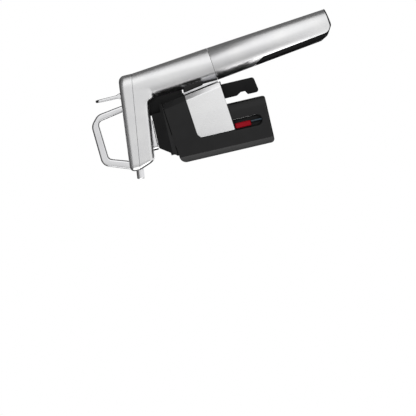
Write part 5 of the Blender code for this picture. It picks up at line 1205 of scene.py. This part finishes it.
def make_spout(sizes):
    """The short turned spout with its rolled lip."""
    groove_low = GAP - SPOUT_INSIDE + SPOUT_GROOVE_WIDTH
    groove_high = groove_low + SPOUT_GROOVE_WIDTH
    deep = SPOUT_RADIUS - SPOUT_GROOVE
    profile = [
        (SPOUT_BORE_RADIUS, -SPOUT_INSIDE), (SPOUT_RADIUS, -SPOUT_INSIDE), (SPOUT_RADIUS, groove_low),
        (deep, groove_low), (deep, groove_high), (SPOUT_RADIUS, groove_high),
        (SPOUT_RADIUS, SPOUT_REACH - SPOUT_LIP), (SPOUT_RADIUS - SPOUT_LIP, SPOUT_REACH),
        (SPOUT_BORE_RADIUS + SPOUT_LIP / 2, SPOUT_REACH), (SPOUT_BORE_RADIUS, SPOUT_REACH - SPOUT_LIP),
    ]
    return ease_edges(toward_spout(turned("spout_tube", profile)), sizes.edge / 2, 3, 25)


def make_rail(sizes):
    """The rail under the head, seated against the housing, with its notch and its hooked tip."""
    front, back, tip = RAIL_FRONT_X, RAIL_BACK_X, RAIL_TIP_Z
    bend, hook, notch = STEM_END_X - STEM_FILLET, RAIL_FRONT_X - RAIL_HOOK, RAIL_FRONT_X + RAIL_NOTCH_DEPTH
    top = stem_z(bend) + RAIL_SEAT
    corners = [
        (front, stem_z(front) + RAIL_SEAT, 0), (bend, top, 0),
        (handle_under_x(top) + RAIL_SEAT, top, 0), (handle_under_x(RAIL_ROOT_Z) + RAIL_SEAT, RAIL_ROOT_Z, 0),
        (back, RAIL_ROOT_Z, 0), (back, tip + RAIL_TIP_SLOPE, RAIL_CORNER), (hook, tip, RAIL_CORNER),
        (hook, tip + RAIL_HOOK_LENGTH, RAIL_HOOK),
        (notch, RAIL_NOTCH_Z - RAIL_NOTCH_HALF_LENGTH / 2, RAIL_HOOK),
        (notch, RAIL_NOTCH_Z + RAIL_NOTCH_HALF_LENGTH / 2, RAIL_HOOK),
        (front, RAIL_NOTCH_Z + RAIL_NOTCH_HALF_LENGTH * 3 / 2, 0),
    ]
    outline = rounded_corners(corners)
    return ease_edges(prism("rail_bar", outline, -RAIL_HALF_WIDTH, RAIL_HALF_WIDTH), sizes.soft_edge, 3, 30)


def make_saddle(sizes):
    """The bent strip under the cup: its two flanges run down to the cheeks and end in a rolled hem."""
    top, end, thick = SADDLE_TOP_Z, SADDLE_END_Z, SADDLE_THICKNESS
    high = [(saddle_x(top), top), (saddle_x(end), end)]
    outline = high + [(saddle_x(end) - thick, end), (saddle_x(top) - thick, top)]
    saddle = prism("saddle_strip", outline, -SADDLE_HALF_WIDTH, SADDLE_HALF_WIDTH)
    low = SADDLE_FLANGE_GAP + SADDLE_HEM_RADIUS
    flange = high + [(cheek_x(end) + low, end), (cheek_x(top) + low, top)]
    for side in (-1, 1):
        ends = sorted((side * (SADDLE_HALF_WIDTH - SADDLE_FLANGE_THICKNESS), side * SADDLE_HALF_WIDTH))
        combine(saddle, prism("saddle_flange", flange, *ends), "UNION")
    return ease_edges(saddle, sizes.edge, 3, 30)


def make_hem(side):
    """The rolled hem along the lower edge of the saddle's flange."""
    top, end = SADDLE_TOP_Z, SADDLE_END_Z
    low = SADDLE_FLANGE_GAP + SADDLE_HEM_RADIUS
    start = Vector((cheek_x(top) + low, side * SADDLE_HALF_WIDTH, top))
    stop = Vector((cheek_x(end) + low, side * SADDLE_HALF_WIDTH, end))
    hem = rod(f"saddle_hem_{SIDE_WORDS[side]}", SADDLE_HEM_RADIUS, 0, (stop - start).length, ROUND // 4)
    lean = atan2(stop.x - start.x, stop.z - start.z)
    return ease_edges(placed(hem, *start, (0, lean, 0)))


def make_bumper(side):
    """The glossy pad moulded over the flange, which the cup comes to rest against."""
    high, low = BUMPER_TOP_Z, BUMPER_TOP_Z - BUMPER_LENGTH
    corners = [(BUMPER_TOP_LOW_X, high), (BUMPER_TOP_HIGH_X, high), (BUMPER_END_HIGH_X, low),
               (BUMPER_END_LOW_X, low)]
    outline = rounded(corners, [0, BUMPER_ROUND, 3 * BUMPER_ROUND / 2, 3 * BUMPER_ROUND / 2])
    ends = sorted((side * BUMPER_INNER_Y, side * BUMPER_OUTER_Y))
    return ease_edges(prism(f"bumper_{SIDE_WORDS[side]}", outline, *ends), BUMPER_ROUND, 6, 30)


PHOTO_SIZE = 416
PIXEL = 0.00091
PHOTO_ORIGIN = (190.1, 136.5)
PHOTO_TURN = radians(13.1)
PHOTO_RIGHT = Vector((-sin(PHOTO_TURN), 0, -cos(PHOTO_TURN)))
PHOTO_UP = Vector((cos(PHOTO_TURN), 0, -sin(PHOTO_TURN)))
CAMERA_DISTANCE = 1.447
CAMERA_LENS = 137.6
EYE_ROW = 100
FLOOR_Z = -0.6
# How nearly a card may stand along the photograph's right before it is turned by its up instead
SIDEWAYS = 0.9


def photo_point(column, row):
    """The point in the object's middle plane that the photograph shows at a pixel."""
    across, down = column - PHOTO_ORIGIN[0], row - PHOTO_ORIGIN[1]
    return (PHOTO_RIGHT * across - PHOTO_UP * down) * PIXEL


def aim(thing, place, target, right=None):
    """Stands a lamp, a card or the camera at a place and turns its -Z towards a target."""
    back = (place - target).normalized()
    side = (right if right else Vector((0, 0, 1)).cross(back)).normalized()
    above = back.cross(side).normalized()
    side = above.cross(back)
    turn = Matrix((side, above, back)).transposed().to_4x4()
    thing.matrix_world = Matrix.Translation(place) @ turn


def make_camera():
    lens = bpy.data.cameras.new("photo_camera")
    lens.lens = CAMERA_LENS
    camera = stand("photo_camera", lens)
    middle = PHOTO_SIZE / 2
    eye = photo_point(middle, EYE_ROW) + Vector((0, -CAMERA_DISTANCE, 0))
    aim(camera, eye, photo_point(middle, middle), PHOTO_RIGHT)
    bpy.context.scene.camera = camera


def seen_as_background(tree):
    """1 where the camera, a reflection or a look through glass meets the surface, and 0 for its light."""
    path = add_node(tree, "ShaderNodeLightPath")
    seen = add_node(tree, "ShaderNodeMath", {0: path.outputs["Is Camera Ray"],
                                             1: path.outputs["Is Glossy Ray"]}, operation="MAXIMUM")
    return add_node(tree, "ShaderNodeMath", {0: seen.outputs[0], 1: path.outputs["Is Transmission Ray"]},
                    operation="MAXIMUM").outputs[0]


def make_world(strength):
    """Even white light round the object, with pure white wherever the background itself is seen."""
    world = bpy.data.worlds.new("studio")
    tree = empty_tree(world)
    light = add_node(tree, "ShaderNodeBackground", {"Color": linear("FFFFFF"), "Strength": strength})
    white = add_node(tree, "ShaderNodeBackground", {"Color": linear("FFFFFF"), "Strength": 1.0})
    mixed = add_node(tree, "ShaderNodeMixShader", {0: seen_as_background(tree), 1: light.outputs[0],
                                                   2: white.outputs[0]})
    add_node(tree, "ShaderNodeOutputWorld", {"Surface": mixed.outputs[0]})
    bpy.context.scene.world = world


def make_sheet(name, size, material):
    """A flat square sheet that reaches size to each side of its middle."""
    bm = bmesh.new()
    bmesh.ops.create_grid(bm, x_segments=1, y_segments=1, size=size)
    mesh = bpy.data.meshes.new(name)
    bm.to_mesh(mesh)
    bm.free()
    mesh.materials.append(material)
    return stand(name, mesh)


def make_floor(size):
    """A pale floor that keeps a soft shadow and otherwise shows as white."""
    material = bpy.data.materials.new("white_paper")
    tree = empty_tree(material)
    paper = add_node(tree, "ShaderNodeBsdfDiffuse", {"Color": linear("F2F2F0")})
    white = add_node(tree, "ShaderNodeEmission", {"Color": linear("FFFFFF"), "Strength": 1.0})
    mixed = add_node(tree, "ShaderNodeMixShader", {0: seen_as_background(tree), 1: paper.outputs[0],
                                                   2: white.outputs[0]})
    add_node(tree, "ShaderNodeOutputMaterial", {"Surface": mixed.outputs[0]})
    floor = make_sheet("floor", size, material)
    floor.location.z = FLOOR_Z


def make_card(name, place, target, width, height, tone):
    """A card out of view, whose tone only the reflections pick up. It takes no light from the object."""
    material = bpy.data.materials.new(name)
    tree = empty_tree(material)
    face = add_node(tree, "ShaderNodeEmission", {"Color": linear(tone), "Strength": 1.0})
    add_node(tree, "ShaderNodeOutputMaterial", {"Surface": face.outputs[0]})
    card = make_sheet(name, 0.5, material)
    along = abs((place - target).normalized().dot(PHOTO_RIGHT))
    aim(card, place, target, PHOTO_RIGHT if along < SIDEWAYS else PHOTO_UP)
    card.scale = (width, height, 1)
    card.visible_camera = False
    card.visible_diffuse = False
    card.visible_shadow = False


def make_lamp(name, place, target, width, height, power):
    light = bpy.data.lights.new(name, "AREA")
    light.shape = "RECTANGLE"
    light.size = width
    light.size_y = height
    light.energy = power
    aim(stand(name, light), Vector(place), Vector(target), PHOTO_RIGHT)


# Cards: name, middle and what it faces as (right, up, back) from the photograph's middle, width, height, tone
CARDS = [
    ("upper_rear_card", (0.0, 0.5, -1.5), (0.0, 0.0, -1.5), 5.0, 3.0, "6E6E6E"),
    ("lower_rear_card", (0.0, -0.5, -1.7), (0.0, 0.0, -1.7), 5.0, 3.2, "101010"),
    ("left_rear_card", (-0.5, 0.0, -1.4), (0.0, 0.0, -1.4), 3.0, 2.9, "4A4A4A"),
    ("left_front_card", (-0.5, 0.0, 0.35), (0.0, 0.0, 0.35), 3.0, 0.6, "808080"),
    ("front_card", (0.0, 0.02, 1.6), (0.0, 0.02, 0.0), 2.6, 0.5, "F0F0F0"),
    ("front_low_card", (0.0, -0.44, 1.56), (0.0, 0.0, 0.0), 2.6, 0.42, "D8D8D8"),
    ("front_foot_card", (0.0, -1.0, 1.25), (0.0, 0.0, 0.0), 2.6, 0.80, "C0C0C0"),
]
# Lamps: name, place, width, height, power in watts
LAMPS = [
    ("key_lamp", (-0.2, 0.9, 0.9), 1.5, 1.25, 1.5),
    ("under_lamp", (0.1, -1.0, 0.12), 1.0, 0.4, 3.2),
]


def stage_place(spot):
    right, up, back = spot
    middle = photo_point(PHOTO_SIZE / 2, PHOTO_SIZE / 2)
    return middle + PHOTO_RIGHT * right + PHOTO_UP * up + Vector((0, -1, 0)) * back


class DispenserSizes(bpy.types.PropertyGroup):
    """Colours of the dispenser's finishes."""

    metal_tone: FloatVectorProperty(
        name="Metal", description="Tone of the plated head and cup", subtype="COLOR", size=4,
        default=linear("E7E7E7"))
    casing_tone: FloatVectorProperty(
        name="Casing", description="Colour of the clamp's two moulded jaws", subtype="COLOR", size=4,
        default=linear("171718"))
    grip_tone: FloatVectorProperty(
        name="Grip", description="Colour of the soft grip in the cup", subtype="COLOR", size=4,
        default=linear("0E0E0F"))
    casting_grain: FloatProperty(
        name="Casting detail", description="Mesh size on the cast pieces", default=0.0005, unit="LENGTH",
        precision=5, min=0.0002)
    edge: FloatProperty(
        name="Fine edge", description="Width of the rounding on crisp edges", default=FINE_EDGE,
        unit="LENGTH", precision=5, min=0.00005)
    soft_edge: FloatProperty(
        name="Soft edge", description="Width of the rounding on moulded edges", default=SOFT_EDGE,
        unit="LENGTH", precision=5, min=0.0001)


class StageSizes(bpy.types.PropertyGroup):
    """Light and room round the dispenser."""

    world_strength: FloatProperty(
        name="Room light", description="Strength of the even light from all round", default=0.75, min=0)
    floor_size: FloatProperty(
        name="Floor", description="Half the width of the floor", default=6, unit="LENGTH", min=1)


class DISPENSER_OT_finishes(bpy.types.Operator):
    """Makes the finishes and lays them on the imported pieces"""

    bl_idname = "dispenser.finishes"
    bl_label = "Finishes"

    def execute(self, context):
        make_finishes(context.scene.dispenser_sizes)
        for finish, nodes in NODE_FINISHES.items():
            for node in nodes:
                dress(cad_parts[node], finish)
        return {"FINISHED"}


def fit(piece, finish, body, *nodes):
    """Dresses a finished piece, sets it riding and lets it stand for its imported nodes."""
    dress(piece, finish)
    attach(piece, body)
    if nodes:
        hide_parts(*nodes)


class DISPENSER_OT_head(bpy.types.Operator):
    """Makes the cap with its loop, the housing, the chin and the spout"""

    bl_idname = "dispenser.head"
    bl_label = "Head"

    def execute(self, context):
        sizes = context.scene.dispenser_sizes
        fit(make_cap(sizes), "satin_nickel", "head", "head_cap")
        # The loop's finish carries painted shade along its rounded edges
        fit(make_loop(), "painted_edge_shade_loop", "head", "head_cap")
        fit(make_housing(sizes), "satin_nickel", "head", "main_housing")
        fit(make_hub(sizes), "polished_nickel", "head", "needle_hub")
        fit(make_spout(sizes), "polished_nickel", "head", "spout")
        fit(make_rail(sizes), "black_nylon", "head", "rail")
        return {"FINISHED"}


class DISPENSER_OT_trigger(bpy.types.Operator):
    """Makes the trigger"""

    bl_idname = "dispenser.trigger"
    bl_label = "Trigger"

    def execute(self, context):
        # The trigger's finish carries painted shade along its rounded edges
        fit(make_trigger(), "painted_edge_shade_trigger", "trigger_body", "trigger")
        fit(make_trigger_ribs(), "polished_nickel", "trigger_body")
        return {"FINISHED"}


class DISPENSER_OT_cup(bpy.types.Operator):
    """Makes the cup's shell and grip"""

    bl_idname = "dispenser.cup"
    bl_label = "Capsule Cup"

    def execute(self, context):
        sizes = context.scene.dispenser_sizes
        fit(make_cup_shell(sizes), "satin_nickel", "cup", "cup_shell")
        fit(make_cup_grip(sizes), "soft_grip", "cup", "cup_core")
        return {"FINISHED"}


class DISPENSER_OT_clamp(bpy.types.Operator):
    """Makes the guide block, the jaws and their plates"""

    bl_idname = "dispenser.clamp"
    bl_label = "Clamp"

    def execute(self, context):
        sizes = context.scene.dispenser_sizes
        fit(make_guide(sizes), "black_acetal", "base", "guide_block")
        fit(make_gasket(), "nitrile", "base")
        fit(make_saddle(sizes), "bright_strip", "base", "nest_saddle")
        for side, word in SIDE_WORDS.items():
            body = f"jaw_{word}_body"
            fit(make_hem(side), "bright_strip", "base", "nest_saddle")
            fit(make_bumper(side), "gloss_rubber", "base", f"saddle_bumper_{word}")
            fit(make_jaw(sizes, side), "black_abs", body, f"jaw_{word}")
            fit(make_plate(sizes, side), "brushed_sheet", body, f"jaw_plate_{word}")
            fit(make_pad_seat(sizes, side), "nitrile", body, f"neck_pad_{word}")
            fit(make_pad_bar(side), "red_silicone", body, f"neck_pad_{word}")
        return {"FINISHED"}


class DISPENSER_OT_stage(bpy.types.Operator):
    """Sets up the floor, the light and the camera"""

    bl_idname = "dispenser.stage"
    bl_label = "Stage and Camera"

    def execute(self, context):
        sizes = context.scene.dispenser_stage
        context.scene.view_settings.view_transform = "Standard"
        make_world(sizes.world_strength)
        make_floor(sizes.floor_size)
        target = stage_place((0, 0, 0))
        for name, spot, faced, width, height, tone in CARDS:
            make_card(name, stage_place(spot), stage_place(faced), width, height, tone)
        for name, spot, width, height, power in LAMPS:
            make_lamp(name, stage_place(spot), target, width, height, power)
        make_camera()
        return {"FINISHED"}


class DISPENSER_PT_sidebar(bpy.types.Panel):
    """The dispenser's colours, sizes and pieces"""

    bl_label = "Dispenser"
    bl_idname = "DISPENSER_PT_sidebar"
    bl_space_type = "VIEW_3D"
    bl_region_type = "UI"
    bl_category = "Dispenser"

    def draw(self, context):
        column = self.layout.column()
        for group in (context.scene.dispenser_sizes, context.scene.dispenser_stage):
            for name in group.bl_rna.properties.keys():
                if name not in ("rna_type", "name"):
                    column.prop(group, name)
        for operator in STEPS:
            column.operator(operator.bl_idname)


STEPS = [DISPENSER_OT_finishes, DISPENSER_OT_head, DISPENSER_OT_trigger, DISPENSER_OT_cup,
         DISPENSER_OT_clamp, DISPENSER_OT_stage]
CLASSES = [DispenserSizes, StageSizes, *STEPS, DISPENSER_PT_sidebar]


def register():
    for made in CLASSES:
        bpy.utils.register_class(made)
    bpy.types.Scene.dispenser_sizes = PointerProperty(type=DispenserSizes)
    bpy.types.Scene.dispenser_stage = PointerProperty(type=StageSizes)


def unregister():
    del bpy.types.Scene.dispenser_stage
    del bpy.types.Scene.dispenser_sizes
    for made in reversed(CLASSES):
        bpy.utils.unregister_class(made)


def main():
    register()
    for step in STEPS:
        group, name = step.bl_idname.split(".")
        getattr(getattr(bpy.ops, group), name)()


if __name__ == "__main__":
    main()
